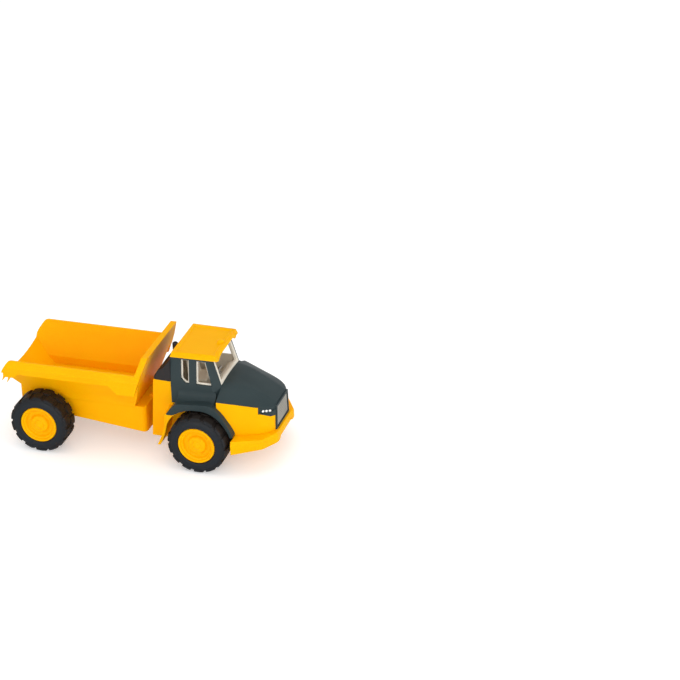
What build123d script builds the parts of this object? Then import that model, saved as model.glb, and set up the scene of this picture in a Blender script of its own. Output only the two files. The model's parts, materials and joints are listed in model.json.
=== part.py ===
from build123d import *
import os
from math import cos, radians, sin

os.makedirs("parts", exist_ok=True)

# Driving dimensions of the toy in millimetres, with heights above the floor
wheelbase = 175.0
nose_reach = 78.0
tail_reach = 42.0

# Tyres with two staggered rows of lugs
tyre_radius = 32.0
tyre_width = 26.0
tyre_outer_y = 62.5
tread_depth = 1.8
shoulder_width = 3.5
shoulder_drop = 4.2
lug_count = 14
lug_share = 0.6
lug_flank_share = 0.06
lug_fade = 0.5
seat_gap = 0.1

# Rims and axles
rim_radius = 20.0
rim_inset = 0.5
rim_depth = 22.0
rim_wall = 2.5
lip_width = 2.2
lip_round = 0.8
lip_step = 1.4
dish_radius = 15.0
dish_depth = 2.0
well_depth = 3.2
boss_radius = 10.0
boss_depth = 1.2
cap_radius = 5.0
cap_depth = 0.6
face_slope = 0.6
web_wall = 2.8
hub_radius = 7.0
axle_radius = 2.0
running_gap = 0.05
hub_end_gap = 0.5

# Articulation
pivot_setback = 51.0
pivot_pin_radius = 3.0
pivot_pin_top_z = 64.0
pivot_wall = 9.5
tongue_half = 7.0
tongue_low_z = 28.0
tongue_top_z = 54.0
pocket_gap = 1.0
pocket_half = 15.0

# Front body
core_half = 33.0
core_top_z = 66.0
keel_z = 19.0
arch_front = 36.0
box_lean = 7.5
box_half_low = 29.0
box_half_high = 36.5
box_top_z = 90.0
nose_bottom_z = 27.0
nose_crease_z = 57.0
nose_bulge = 2.5
nose_half_rear = 46.5
nose_half_lamp = 32.5
nose_half_corner = 24.0
nose_half_tip = 18.5
lamp_depth = 14.1
corner_depth = 3.0
belt_rear_z = 77.6
belt_lamp_z = 69.6
lamp_bottom_z = 62.0

# Bumper
bumper_depth = 5.2
bumper_half_rear = 59.0
bumper_half_side = 47.0
bumper_half_front = 28.0
bumper_corner = 11.0
bumper_low_rear_z = 24.7
bumper_low_front_z = 29.4
bumper_top_z = 40.0
bumper_ledge = 1.2
bumper_ledge_z = 36.5
notch_half = 21.0
notch_depth = 1.5
notch_height = 4.0

# Cab
cab_rear = 33.5
cab_front = 18.5
cab_half = 37.0
cab_half_top = 34.0
cab_top_z = 117.5
sill_z = 88.0
cab_front_top = 9.5
pillar_half = 28.5
pillar_back = 7.5
cab_wall = 2.2
liner_gap = 0.2
liner_wall = 1.4
liner_reveal = 1.6
liner_floor = 2.0

# Side windows, by distance from the front axle
front_window_rear = -6.0
front_window_low_front = 11.0
front_window_top_front = 4.5
window_low_z = 90.0
window_top_z = 116.0
rear_window_front = -13.5
rear_window_rear = -22.5
rear_window_cut = 5.0
windscreen_low_half = 27.5
windscreen_top_half = 26.5
windscreen_top_z = 114.5
back_window_low_z = 103.0
back_window_half = 26.0

# Seat, dashboard and steering wheel
seat_back = -22.0
seat_front = -4.0
seat_half = 12.0
seat_height = 14.0
seat_back_wall = 4.0
seat_back_height = 36.0
seat_back_rake = 4.0
dash_depth = 9.0
dash_half = 26.0
dash_height = 20.0
dash_bevel = 4.5
column_radius = 2.0
column_length = 4.0
steering_radius = 7.0
steering_thickness = 1.6
steering_rim = 1.8
steering_spoke = 1.6

# Roof
roof_overhang_rear = 0.7
roof_overhang_front = 7.7
roof_overhang_side = 0.8
roof_taper = 2.4
roof_height = 5.5
roof_rounding = 1.2
roof_recess = 0.6
roof_rim = 5.0
recess_rounding = 7.0
visor_wall = 1.5
visor_drop = 3.0
beacon_x = 9.5
beacon_radius = 4.2
beacon_height = 2.8
beacon_rounding = 2.0

# Hood
hood_crown_rear_z = 89.5
hood_crown_mid_z = 85.6
hood_crown_lamp_z = 77.5
hood_crown_corner_z = 71.0
hood_crown_tip_z = 68.8
hood_mid_back = 18.5
hood_shoulder_rear = 23.0
hood_shoulder_tip = 13.0
hood_shoulder_drop = 1.0
hood_side_bulge = 0.4
hood_lip = 1.0

# Fenders
fender_half = 52.0
fender_wall = 3.0
fender_front_z = 42.0
fender_knee_front = 16.7
fender_knee_front_z = 75.3
fender_knee_rear = -26.3
fender_knee_rear_z = 71.8
fender_rear = -34.3
fender_rear_z = 61.0
fender_rounding = 1.8
cove_width = 11.0
cove_height = 9.0
cove_waist = 3.0

# Rear deck and exhaust stack
deck_half = 33.0
deck_step_z = 95.0
deck_shelf_z = 100.0
deck_shelf_setback = 4.0
deck_rise_setback = 7.5
deck_high_z = 110.0
stack_x = -39.0
stack_y = -8.5
stack_radius = 3.0
stack_top_z = 121.0
stack_rounding = 1.5

# Grille and headlamps
grille_half_top = 16.5
grille_half_low = 18.5
grille_top_z = 64.5
grille_low_z = 42.0
grille_frame = 2.0
grille_frame_depth = 3.0
grille_panel = 0.8
grille_gap = 0.1
slat_count = 7
slat_height = 1.5
slat_rise = 0.4
slat_margin = 1.2
lamp_count = 3
lamp_radius = 1.4
lamp_pitch = 3.7
lamp_margin = 2.6
lamp_thickness = 0.5

# Mudflaps, and the ladder on the left side
flap_root = 15.0
flap_wall = 3.0
flap_half = 50.0
flap_lap_gap = 0.5
flap_gap = 4.5
flap_middle_z = 41.0
flap_low = -44.0
flap_low_z = 21.0
ladder_root = 15.0
ladder_half = 52.0
ladder_front = -37.0
ladder_rear = -53.0
ladder_low_z = 22.0
ladder_steps = 5
ladder_rise = 9.5
ladder_depth = 6.0

# Rear frame
frame_gap = 5.5
frame_half = 31.0
frame_low_z = 21.5
frame_rise_ahead = 29.0
frame_rise_z = 30.0
frame_top_z = 52.0
frame_corner = 5.0
frame_end_z = 36.0
rear_boss_radius = 8.0

# Tipping hinge
hinge_behind = 24.0
hinge_radius = 5.5
hinge_pin_radius = 2.0
bed_ear_radius = 6.5
bed_ear_wall = 4.0
hinge_side_gap = 0.5

# Dump bed, heights and half widths of its section
bed_clearance = 0.3
bed_floor_half = 33.0
bed_bilge_half = 34.5
bed_bilge_rise = 10.5
bed_waist_half = 45.5
bed_waist_z = 86.0
bed_wall = 2.5
floor_edge_inset = 1.25
bilge_inset_rise = 0.8
rail_half_low = 52.5
rail_low_z = 84.0
rail_half_mid = 53.5
rail_mid_z = 90.5
rail_half_top = 50.5
rail_top_z = 98.0
bed_front_gap = 11.0
head_gap = 2.0
head_top_z = 117.0
head_half_top = 43.5
head_half_rail = 52.0
head_thickness = 6.5
ear_low_z = 75.4
ear_length = 19.0
ear_wall = 3.0
tail_rise_ahead = 3.5
tail_low_z = 72.3
tail_sag = 8.0
tail_rake = 8.3
tail_knee_z = 87.8
tail_knee_inset = 1.8
tail_lip_z = 83.5
tail_ear_inset = 2.2
tail_ear_length = 12.0
tail_ear_low_z = 79.3

# Places worked out from the driving dimensions
front_axle_x = (wheelbase + tail_reach - nose_reach) / 2
rear_axle_x = front_axle_x - wheelbase
tail_end_x = rear_axle_x - tail_reach
axle_z = tyre_radius
pivot_x = front_axle_x - pivot_setback
hinge_x = rear_axle_x - hinge_behind
tyre_middle_y = tyre_outer_y - tyre_width / 2
rim_outer_y = tyre_outer_y - rim_inset
hub_inner_y = core_half + hub_end_gap
axle_half = rim_outer_y - well_depth - web_wall
nose_tip = nose_reach - bumper_depth
nose_corner = nose_tip - corner_depth
lamp_rear = nose_tip - lamp_depth
hood_mid = lamp_rear - hood_mid_back
bumper_side_end = nose_reach - bumper_corner
box_rear_low = pivot_setback + pivot_wall
box_rear_high = box_rear_low - box_lean
frame_front = box_rear_low + frame_gap
bed_front_low = frame_front + bed_front_gap
head_top_front = box_rear_high + head_gap
bed_floor_z = frame_top_z + bed_clearance
hinge_z = frame_top_z - hinge_radius
tail_rise_x = hinge_x + tail_rise_ahead
tail_rail_x = tail_end_x + tail_rake
belt_slope = (belt_rear_z - belt_lamp_z) / (lamp_rear - cab_front)
liner_inset = cab_wall + liner_gap


def ahead(distance):
    """X of a point that lies a distance ahead of the front axle."""
    return front_axle_x + distance


def belt_z(distance):
    """Height of the line between hood and lower body, ahead of the front axle."""
    return belt_rear_z - belt_slope * (distance - cab_front)


def mirrored(points):
    """Closed outline from its half: the points, then their mirror images about the middle plane."""
    return points + [(-y, z) for y, z in reversed(points)]


def plan_mirrored(points):
    """Closed plan outline from its left half, mirrored about the middle plane."""
    return points + [(x, -y) for x, y in reversed(points)]


def lug_ring(radius, depth, turn):
    """Outline of a ring of lugs about the wheel's centre, turned by an angle in degrees."""
    corners = [
        (radius - depth, 0),
        (radius, lug_flank_share),
        (radius, lug_share / 2),
        (radius, lug_share - lug_flank_share),
        (radius - depth, lug_share),
    ]
    outline = []
    for lug in range(lug_count):
        for reach, share in corners:
            angle = radians(turn + (lug + share) * lug_pitch)
            outline.append((reach * cos(angle), reach * sin(angle)))
    return outline


# Tyres and rims, one pair for each wheel, with a lug of the outer row on the floor
lug_pitch = 360 / lug_count
lug_turn = -90 - lug_pitch * lug_share / 2
tread_half = tyre_width / 2 - shoulder_width
wheel_places = {
    "front_left": (front_axle_x, 1),
    "front_right": (front_axle_x, -1),
    "rear_left": (rear_axle_x, 1),
    "rear_right": (rear_axle_x, -1),
}
for wheel_name, (wheel_x, side) in wheel_places.items():
    wheel_centre = (wheel_x, side * tyre_middle_y, axle_z)
    with BuildPart() as tyre:
        for outward, turn in ((side, lug_turn), (-side, lug_turn + lug_pitch / 2)):
            middle = Plane(origin=wheel_centre, x_dir=(1, 0, 0), z_dir=(0, outward, 0))
            with BuildSketch(middle):
                Polygon(*lug_ring(tyre_radius, tread_depth, turn), align=None)
            extrude(amount=tread_half)
            with BuildSketch(middle.offset(tread_half)):
                Polygon(*lug_ring(tyre_radius, tread_depth, turn), align=None)
            with BuildSketch(middle.offset(tyre_width / 2)):
                Polygon(*lug_ring(tyre_radius - shoulder_drop, lug_fade, turn), align=None)
            loft(ruled=True)
        with BuildSketch(middle):
            RegularPolygon(rim_radius + seat_gap, 4 * lug_count, major_radius=False)
        extrude(amount=tyre_width / 2, both=True, mode=Mode.SUBTRACT)
    tyre.part.label = "tyre_" + wheel_name
    export_step(tyre.part, "parts/tyre_" + wheel_name + ".step")

    rim_face = [
        (rim_radius, lip_round),
        (rim_radius - lip_round, 0),
        (rim_radius - lip_width, 0),
        (rim_radius - lip_width - face_slope, lip_step),
        (dish_radius, dish_depth),
        (dish_radius - face_slope, well_depth),
        (boss_radius + face_slope, well_depth),
        (boss_radius - face_slope, boss_depth),
        (cap_radius + face_slope, boss_depth),
        (cap_radius, cap_depth),
        (0, cap_depth),
    ]
    with BuildPart() as rim:
        with BuildSketch(Plane(origin=(wheel_x, 0, axle_z), x_dir=(1, 0, 0), z_dir=(0, 0, 1))):
            with BuildLine():
                Polyline(
                    *[(radius, side * (rim_outer_y - depth)) for radius, depth in rim_face],
                    (0, side * (axle_half + running_gap)),
                    (axle_radius + running_gap, side * (axle_half + running_gap)),
                    (axle_radius + running_gap, side * hub_inner_y),
                    (hub_radius, side * hub_inner_y),
                    (hub_radius, side * axle_half),
                    (rim_radius - rim_wall, side * axle_half),
                    (rim_radius - rim_wall, side * (rim_outer_y - rim_depth)),
                    (rim_radius, side * (rim_outer_y - rim_depth)),
                    close=True,
                )
            make_face()
        revolve(axis=Axis((wheel_x, 0, axle_z), (0, 1, 0)))
    rim.part.label = "rim_" + wheel_name
    export_step(rim.part, "parts/rim_" + wheel_name + ".step")

# Axle rods
for axle_name, axle_x in {"front_axle": front_axle_x, "rear_axle": rear_axle_x}.items():
    with BuildPart() as axle:
        with BuildSketch(Plane(origin=(axle_x, 0, axle_z), z_dir=(0, 1, 0))):
            Circle(axle_radius)
        extrude(amount=axle_half, both=True)
    axle.part.label = axle_name
    export_step(axle.part, "parts/" + axle_name + ".step")


def nose_plan(bulge):
    """Plan outline of the nose, widened by a bulge."""
    return plan_mirrored([
        (ahead(cab_front), nose_half_rear + bulge),
        (ahead(lamp_rear), nose_half_lamp + bulge),
        (ahead(nose_corner), nose_half_corner + bulge),
        (ahead(nose_tip), nose_half_tip + bulge),
    ])


# Lower front body: core between the wheels, rear box, nose sides, mudflaps and pivot pocket
arch_outline = [
    (ahead(arch_front), 0),
    (ahead(arch_front), fender_front_z),
    (ahead(fender_knee_front), fender_knee_front_z),
    (ahead(fender_knee_rear), fender_knee_rear_z),
    (ahead(fender_rear), fender_rear_z),
    (ahead(fender_rear), 0),
]
arch_opening = [arch_outline[0], arch_outline[1], arch_outline[4], arch_outline[5]]
flap_face = [
    (ahead(fender_rear - flap_lap_gap), fender_rear_z),
    (ahead(-tyre_radius - flap_gap), flap_middle_z),
    (ahead(flap_low), flap_low_z),
]
flap_back = [(x - flap_wall, z) for x, z in flap_face]
ladder_top_z = ladder_low_z + ladder_steps * ladder_rise
ladder_outline = [(ladder_root, ladder_low_z), (ladder_root, ladder_top_z)]
for step in range(ladder_steps):
    step_z = ladder_top_z - step * ladder_rise
    ladder_outline += [(ladder_half, step_z), (ladder_half - ladder_depth, step_z - ladder_rise)]
with BuildPart() as front_body:
    with BuildSketch(Plane.XY.offset(nose_bottom_z)):
        Polygon(*nose_plan(nose_bulge), align=None)
    extrude(amount=nose_crease_z - nose_bottom_z)
    with BuildSketch(Plane.XY.offset(nose_crease_z)):
        Polygon(*nose_plan(nose_bulge), align=None)
    with BuildSketch(Plane.XY.offset(belt_rear_z)):
        Polygon(*nose_plan(0), align=None)
    loft(ruled=True)
    with BuildSketch(Plane.XZ):
        Polygon(
            (ahead(cab_front), belt_rear_z),
            (ahead(lamp_rear), belt_z(lamp_rear)),
            (ahead(lamp_rear), lamp_bottom_z),
            (ahead(nose_tip), lamp_bottom_z),
            (ahead(nose_tip), belt_rear_z),
            align=None,
        )
    extrude(amount=bumper_half_rear, both=True, mode=Mode.SUBTRACT)
    with BuildSketch(Plane.XZ):
        Polygon(*arch_outline, align=None)
    extrude(amount=bumper_half_rear, both=True, mode=Mode.SUBTRACT)
    with BuildSketch(Plane.XZ):
        Polygon(
            (ahead(-cab_rear), keel_z),
            (ahead(arch_front), nose_bottom_z),
            (ahead(arch_front), core_top_z),
            (ahead(-cab_rear), core_top_z),
            align=None,
        )
    extrude(amount=core_half, both=True)
    with BuildSketch(Plane.XY.offset(keel_z)):
        Polygon(
            *plan_mirrored([(ahead(-box_rear_low), box_half_low), (ahead(-cab_rear), box_half_low)]),
            align=None,
        )
    with BuildSketch(Plane.XY.offset(box_top_z)):
        Polygon(
            *plan_mirrored([(ahead(-box_rear_high), box_half_high), (ahead(-cab_rear), box_half_high)]),
            align=None,
        )
    loft()
    for side in (1, -1):
        with BuildSketch(Plane.XZ.offset(-side * flap_root)):
            with BuildLine():
                ThreePointArc(*flap_face)
                Line(flap_face[2], flap_back[2])
                ThreePointArc(*reversed(flap_back))
                Line(flap_back[0], flap_face[0])
            make_face()
        extrude(amount=-side * (flap_half - flap_root))
    with BuildSketch(Plane.YZ.offset(ahead(ladder_rear))):
        Polygon(*ladder_outline, align=None)
    extrude(amount=ladder_front - ladder_rear)
    with BuildSketch(Plane.XY.offset(tongue_low_z - pocket_gap)):
        Polygon(
            (ahead(-box_rear_low), -pocket_half),
            (pivot_x + tongue_half + pocket_gap, -tongue_half - pocket_gap),
            (pivot_x + tongue_half + pocket_gap, tongue_half + pocket_gap),
            (ahead(-box_rear_low), pocket_half),
            align=None,
        )
    extrude(amount=tongue_top_z - tongue_low_z + 2 * pocket_gap, mode=Mode.SUBTRACT)
    with BuildSketch(Plane.XY.offset(keel_z)):
        with Locations((pivot_x, 0)):
            Circle(pivot_pin_radius + running_gap)
    extrude(amount=pivot_pin_top_z - keel_z, mode=Mode.SUBTRACT)
    with BuildSketch(Plane(origin=(front_axle_x, 0, axle_z), z_dir=(0, 1, 0))):
        Circle(axle_radius + running_gap)
    extrude(amount=core_half, both=True, mode=Mode.SUBTRACT)
front_body.part.label = "front_body"
export_step(front_body.part, "parts/front_body.step")

# Pivot pin of the articulation
with BuildPart() as pivot_pin:
    with BuildSketch(Plane.XY.offset(keel_z)):
        with Locations((pivot_x, 0)):
            Circle(pivot_pin_radius)
    extrude(amount=pivot_pin_top_z - keel_z)
pivot_pin.part.label = "pivot_pin"
export_step(pivot_pin.part, "parts/pivot_pin.step")


def bumper_plan(setback):
    """Plan outline of the bumper, drawn in by a setback."""
    return plan_mirrored([
        (ahead(arch_front), bumper_half_rear - setback),
        (ahead(bumper_side_end - setback), bumper_half_side - setback),
        (ahead(nose_reach - setback), bumper_half_front - setback),
    ])


# Bumper around the nose, with a sloping ledge and a notch under its middle
with BuildPart() as bumper:
    with BuildSketch(Plane.XY.offset(bumper_low_rear_z)):
        Polygon(*bumper_plan(0), align=None)
    extrude(amount=bumper_ledge_z - bumper_low_rear_z)
    with BuildSketch(Plane.XY.offset(bumper_ledge_z)):
        Polygon(*bumper_plan(0), align=None)
    with BuildSketch(Plane.XY.offset(bumper_top_z)):
        Polygon(*bumper_plan(bumper_ledge), align=None)
    loft(ruled=True)
    with BuildSketch(Plane.XZ):
        Polygon(
            (ahead(arch_front), bumper_low_rear_z),
            (ahead(bumper_side_end), bumper_low_front_z),
            (ahead(nose_reach), bumper_low_front_z),
            (ahead(nose_reach), bumper_low_rear_z),
            align=None,
        )
    extrude(amount=bumper_half_rear, both=True, mode=Mode.SUBTRACT)
    with BuildSketch(Plane.YZ.offset(ahead(nose_reach))):
        Polygon(
            (-notch_half, bumper_low_front_z),
            (notch_half, bumper_low_front_z),
            (notch_half - notch_height, bumper_low_front_z + notch_height),
            (notch_height - notch_half, bumper_low_front_z + notch_height),
            align=None,
        )
    extrude(amount=-notch_depth, mode=Mode.SUBTRACT)
    with BuildSketch(Plane.XY.offset(nose_bottom_z)):
        Polygon(*nose_plan(nose_bulge), align=None)
    extrude(amount=bumper_top_z, mode=Mode.SUBTRACT)
bumper.part.label = "bumper"
export_step(bumper.part, "parts/bumper.step")


def cab_block(inset, floor_z):
    """Cab form with tapered sides, raked front and slanted front corners, drawn in by an inset."""
    section = mirrored([
        (cab_half - inset, floor_z),
        (cab_half - inset, sill_z),
        (cab_half_top - inset, cab_top_z),
    ])
    profile = [
        (ahead(inset - cab_rear), floor_z),
        (ahead(cab_front - inset), floor_z),
        (ahead(cab_front - inset), sill_z),
        (ahead(cab_front_top - inset), cab_top_z),
        (ahead(inset - cab_rear), cab_top_z),
    ]
    with BuildPart() as block:
        with BuildSketch(Plane.YZ.offset(ahead(-cab_rear))):
            Polygon(*section, align=None)
        extrude(amount=cab_rear + cab_front)
        with BuildSketch(Plane.XZ):
            Polygon(*profile, align=None)
        extrude(amount=cab_half, both=True, mode=Mode.INTERSECT)
        for side in (1, -1):
            along_sill = Vector(-pillar_back, side * (cab_half - pillar_half), 0)
            up_pillar = Vector(cab_front_top - cab_front, 0, cab_top_z - sill_z)
            pillar_plane = Plane(
                origin=(ahead(cab_front), side * pillar_half, sill_z),
                x_dir=up_pillar,
                z_dir=along_sill.cross(up_pillar) * side,
            )
            split(bisect_by=pillar_plane.offset(-inset), keep=Keep.BOTTOM)
    return block.part


def side_windows(margin):
    """Outlines of the two windows in a cab side, each shrunk by a margin."""
    front = [
        (ahead(front_window_rear + margin), window_low_z + margin),
        (ahead(front_window_low_front - margin), window_low_z + margin),
        (ahead(front_window_top_front - margin), window_top_z - margin),
        (ahead(front_window_rear + margin), window_top_z - margin),
    ]
    rear = [
        (ahead(rear_window_rear + rear_window_cut), window_low_z + margin),
        (ahead(rear_window_front - margin), window_low_z + margin),
        (ahead(rear_window_front - margin), window_top_z - margin),
        (ahead(rear_window_rear + margin), window_top_z - margin),
        (ahead(rear_window_rear + margin), window_low_z + rear_window_cut),
    ]
    return front, rear


def end_windows(margin):
    """Outlines of the windscreen and the back window, each shrunk by a margin."""
    screen = mirrored([
        (windscreen_low_half - margin, sill_z + margin),
        (windscreen_top_half - margin, windscreen_top_z - margin),
    ])
    back = mirrored([
        (back_window_half - margin, back_window_low_z + margin),
        (back_window_half - margin, windscreen_top_z - margin),
    ])
    return screen, back


# Cab shell and its pale liner, whose smaller windows show as frames
cab_middle_x = ahead((cab_front_top - cab_rear) / 2)
cab_reach = cab_rear + cab_front
cab_pieces = {
    "cab_shell": (0, core_top_z, cab_wall, core_top_z, 0),
    "cab_liner": (
        liner_inset, core_top_z, liner_inset + liner_wall, core_top_z + liner_floor, liner_reveal
    ),
}
for cab_name, (outside, base_z, inside, floor_z, reveal) in cab_pieces.items():
    screen, back = end_windows(reveal)
    with BuildPart() as cab_piece:
        add(cab_block(outside, base_z))
        add(cab_block(inside, floor_z), mode=Mode.SUBTRACT)
        for outline in side_windows(reveal):
            with BuildSketch(Plane.XZ):
                Polygon(*outline, align=None)
            extrude(amount=cab_half, both=True, mode=Mode.SUBTRACT)
        with BuildSketch(Plane.YZ.offset(cab_middle_x)):
            Polygon(*screen, align=None)
        extrude(amount=cab_reach, mode=Mode.SUBTRACT)
        with BuildSketch(Plane.YZ.offset(cab_middle_x)):
            Polygon(*back, align=None)
        extrude(amount=-cab_reach, mode=Mode.SUBTRACT)
    cab_piece.part.label = cab_name
    export_step(cab_piece.part, "parts/" + cab_name + ".step")

# Seat and dashboard on the liner's floor
cab_floor_z = core_top_z + liner_floor
with BuildPart() as seat:
    with BuildSketch(Plane.XZ):
        Polygon(
            (ahead(seat_back), cab_floor_z),
            (ahead(seat_front), cab_floor_z),
            (ahead(seat_front), cab_floor_z + seat_height),
            (ahead(seat_back + seat_back_wall), cab_floor_z + seat_height),
            (ahead(seat_back), cab_floor_z + seat_back_height),
            (ahead(seat_back - seat_back_rake), cab_floor_z + seat_back_height),
            align=None,
        )
    extrude(amount=seat_half, both=True)
seat.part.label = "seat"
export_step(seat.part, "parts/seat.step")

dash_front = cab_front - liner_inset - liner_wall - liner_gap
dash_top_z = cab_floor_z + dash_height
with BuildPart() as dashboard:
    with BuildSketch(Plane.XZ):
        Polygon(
            (ahead(dash_front - dash_depth), cab_floor_z),
            (ahead(dash_front), cab_floor_z),
            (ahead(dash_front), dash_top_z),
            (ahead(dash_front - dash_depth + dash_bevel), dash_top_z),
            (ahead(dash_front - dash_depth), dash_top_z - dash_bevel),
            align=None,
        )
    extrude(amount=dash_half, both=True)
dashboard.part.label = "dashboard"
export_step(dashboard.part, "parts/dashboard.step")

# Steering wheel on the bevel of the dashboard: column, rim and a cross of spokes
steering_plane = Plane(
    origin=(ahead(dash_front - dash_depth + dash_bevel / 2), 0, dash_top_z - dash_bevel / 2),
    x_dir=(0, 1, 0),
    z_dir=(-1, 0, 1),
)
with BuildPart() as steering_wheel:
    with BuildSketch(steering_plane):
        Circle(column_radius)
    extrude(amount=column_length)
    with BuildSketch(steering_plane.offset(column_length)):
        Circle(steering_radius)
        Circle(steering_radius - steering_rim, mode=Mode.SUBTRACT)
        Circle(column_radius)
        Rectangle(2 * steering_radius - steering_rim, steering_spoke)
        Rectangle(steering_spoke, 2 * steering_radius - steering_rim)
    extrude(amount=steering_thickness)
steering_wheel.part.label = "steering_wheel"
export_step(steering_wheel.part, "parts/steering_wheel.step")

# Roof with a recessed panel, a lip at each end and a beacon
roof_rear = cab_rear + roof_overhang_rear
roof_front = cab_front_top + roof_overhang_front
roof_half = cab_half_top + roof_overhang_side
roof_top_z = cab_top_z + roof_height
recess_rear = roof_rim - roof_rear
recess_front = beacon_x - beacon_radius - roof_rounding
with BuildPart() as roof:
    with BuildSketch(Plane.XY.offset(cab_top_z)):
        Polygon(
            *plan_mirrored([(ahead(-roof_rear), roof_half), (ahead(roof_front), roof_half)]), align=None
        )
    with BuildSketch(Plane.XY.offset(roof_top_z)):
        Polygon(
            *plan_mirrored([
                (ahead(roof_taper / 2 - roof_rear), roof_half - roof_taper),
                (ahead(roof_front - roof_taper / 2), roof_half - roof_taper),
            ]),
            align=None,
        )
    loft()
    fillet(roof.edges().group_by(Axis.Z)[-1], roof_rounding)
    with BuildSketch(Plane.XY.offset(roof_top_z)):
        with Locations((ahead((recess_rear + recess_front) / 2), 0)):
            RectangleRounded(
                recess_front - recess_rear, 2 * (roof_half - roof_taper - roof_rim), recess_rounding
            )
    extrude(amount=-roof_recess, mode=Mode.SUBTRACT)
    with BuildSketch(Plane.XY.offset(cab_top_z)):
        Polygon(
            *plan_mirrored([(ahead(roof_front - visor_wall), roof_half), (ahead(roof_front), roof_half)]),
            align=None,
        )
        Polygon(
            *plan_mirrored([(ahead(-roof_rear), roof_half), (ahead(-cab_rear), roof_half)]), align=None
        )
    extrude(amount=-visor_drop)
    with BuildSketch(Plane.XY.offset(roof_top_z)):
        with Locations((ahead(beacon_x), 0)):
            Circle(beacon_radius)
    extrude(amount=beacon_height)
    fillet(roof.edges().group_by(Axis.Z)[-1], beacon_rounding)
roof.part.label = "roof"
export_step(roof.part, "parts/roof.step")


def hood_section(distance, half_width, crown_z):
    """Face of the hood's arch at a distance ahead of the front axle: lips, bulged sides, crowned top."""
    base_z = belt_z(distance)
    share = (crown_z - base_z) / (hood_crown_rear_z - belt_rear_z)
    shoulder = hood_shoulder_rear - shoulder_step * (distance - cab_front)
    shoulder_z = crown_z - hood_shoulder_drop * share
    lip_z = base_z + hood_lip * share
    side_y = (half_width + shoulder) / 2
    side_z = (lip_z + shoulder_z) / 2 + hood_side_bulge * share
    with BuildSketch(Plane.YZ.offset(ahead(distance))) as arch:
        with BuildLine():
            ThreePointArc((half_width, lip_z), (side_y, side_z), (shoulder, shoulder_z))
            ThreePointArc((shoulder, shoulder_z), (0, crown_z), (-shoulder, shoulder_z))
            ThreePointArc((-shoulder, shoulder_z), (-side_y, side_z), (-half_width, lip_z))
            Polyline(
                (-half_width, lip_z), (-half_width, base_z), (half_width, base_z), (half_width, lip_z)
            )
        make_face()
    return arch.sketch


# Hood with lamp housings and the frame of the grille
nose_taper = (nose_half_rear - nose_half_lamp) / (lamp_rear - cab_front)
hood_half_mid = nose_half_rear - nose_taper * (hood_mid - cab_front)
shoulder_step = (hood_shoulder_rear - hood_shoulder_tip) / (nose_tip - cab_front)
hood_arches = [
    hood_section(cab_front, nose_half_rear, hood_crown_rear_z),
    hood_section(hood_mid, hood_half_mid, hood_crown_mid_z),
    hood_section(lamp_rear, nose_half_lamp, hood_crown_lamp_z),
    hood_section(nose_corner, nose_half_corner, hood_crown_corner_z),
    hood_section(nose_tip, nose_half_tip, hood_crown_tip_z),
]
grille_outline = mirrored([(grille_half_low, grille_low_z), (grille_half_top, grille_top_z)])
with BuildPart() as hood:
    with BuildSketch(Plane.XY.offset(lamp_bottom_z)):
        Polygon(*nose_plan(0), align=None)
    extrude(amount=belt_rear_z - lamp_bottom_z)
    with BuildSketch(Plane.XZ):
        Polygon(
            (ahead(lamp_rear), lamp_bottom_z),
            (ahead(nose_tip), lamp_bottom_z),
            (ahead(nose_tip), belt_z(nose_tip)),
            (ahead(lamp_rear), belt_z(lamp_rear)),
            align=None,
        )
    extrude(amount=nose_half_rear, both=True, mode=Mode.INTERSECT)
    loft(sections=hood_arches)
    with BuildSketch(Plane.YZ.offset(ahead(nose_tip))):
        Polygon(
            *mirrored([
                (grille_half_low + grille_frame, grille_low_z - grille_frame),
                (grille_half_top + grille_frame, belt_z(nose_tip)),
            ]),
            align=None,
        )
    extrude(amount=grille_frame_depth)
    with BuildSketch(Plane.YZ.offset(ahead(nose_tip))):
        Polygon(*grille_outline, align=None)
    extrude(amount=grille_frame_depth, mode=Mode.SUBTRACT)
hood.part.label = "hood"
export_step(hood.part, "parts/hood.step")

# Grille panel with its slats, set in the frame
slat_pitch = (grille_top_z - grille_low_z) / slat_count
with BuildPart() as grille:
    with BuildSketch(Plane.YZ.offset(ahead(nose_tip))):
        Polygon(*grille_outline, align=None)
        offset(amount=-grille_gap, kind=Kind.INTERSECTION, mode=Mode.REPLACE)
    extrude(amount=grille_panel)
    with BuildSketch(Plane.YZ.offset(ahead(nose_tip + grille_panel))):
        with Locations((0, (grille_low_z + grille_top_z) / 2)):
            with GridLocations(slat_pitch, slat_pitch, 1, slat_count):
                Rectangle(2 * (grille_half_top - slat_margin), slat_height)
    extrude(amount=slat_rise)
grille.part.label = "grille"
export_step(grille.part, "parts/grille.step")

# Headlamps, small round faces on the slanted front of each housing
lamp_z = (lamp_bottom_z + belt_z(nose_corner)) / 2
with BuildPart() as headlamps:
    for side in (1, -1):
        lamp_plane = Plane(
            origin=(ahead(nose_corner), side * nose_half_corner, lamp_z),
            x_dir=(lamp_rear - nose_corner, side * (nose_half_lamp - nose_half_corner), 0),
            z_dir=(nose_half_lamp - nose_half_corner, side * (nose_corner - lamp_rear), 0),
        )
        with BuildSketch(lamp_plane):
            for lamp in range(lamp_count):
                with Locations((lamp_margin + lamp * lamp_pitch, 0)):
                    Circle(lamp_radius)
        extrude(amount=lamp_thickness)
headlamps.part.label = "headlamps"
export_step(headlamps.part, "parts/headlamps.step")

# Fenders over the front wheels, each with a rounded ridge and a cove that rises along the cab
ridge_points = arch_outline[1:5]
ridge_middles = [
    ((x + next_x) / 2, (z + next_z) / 2)
    for (x, z), (next_x, next_z) in zip(ridge_points, ridge_points[1:])
]


def on_ridge(edge):
    """Whether an edge runs along the outside of the arch."""
    middle = edge.center()
    return any(abs(middle.X - x) + abs(middle.Z - z) < fender_wall / 2 for x, z in ridge_middles)


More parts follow.
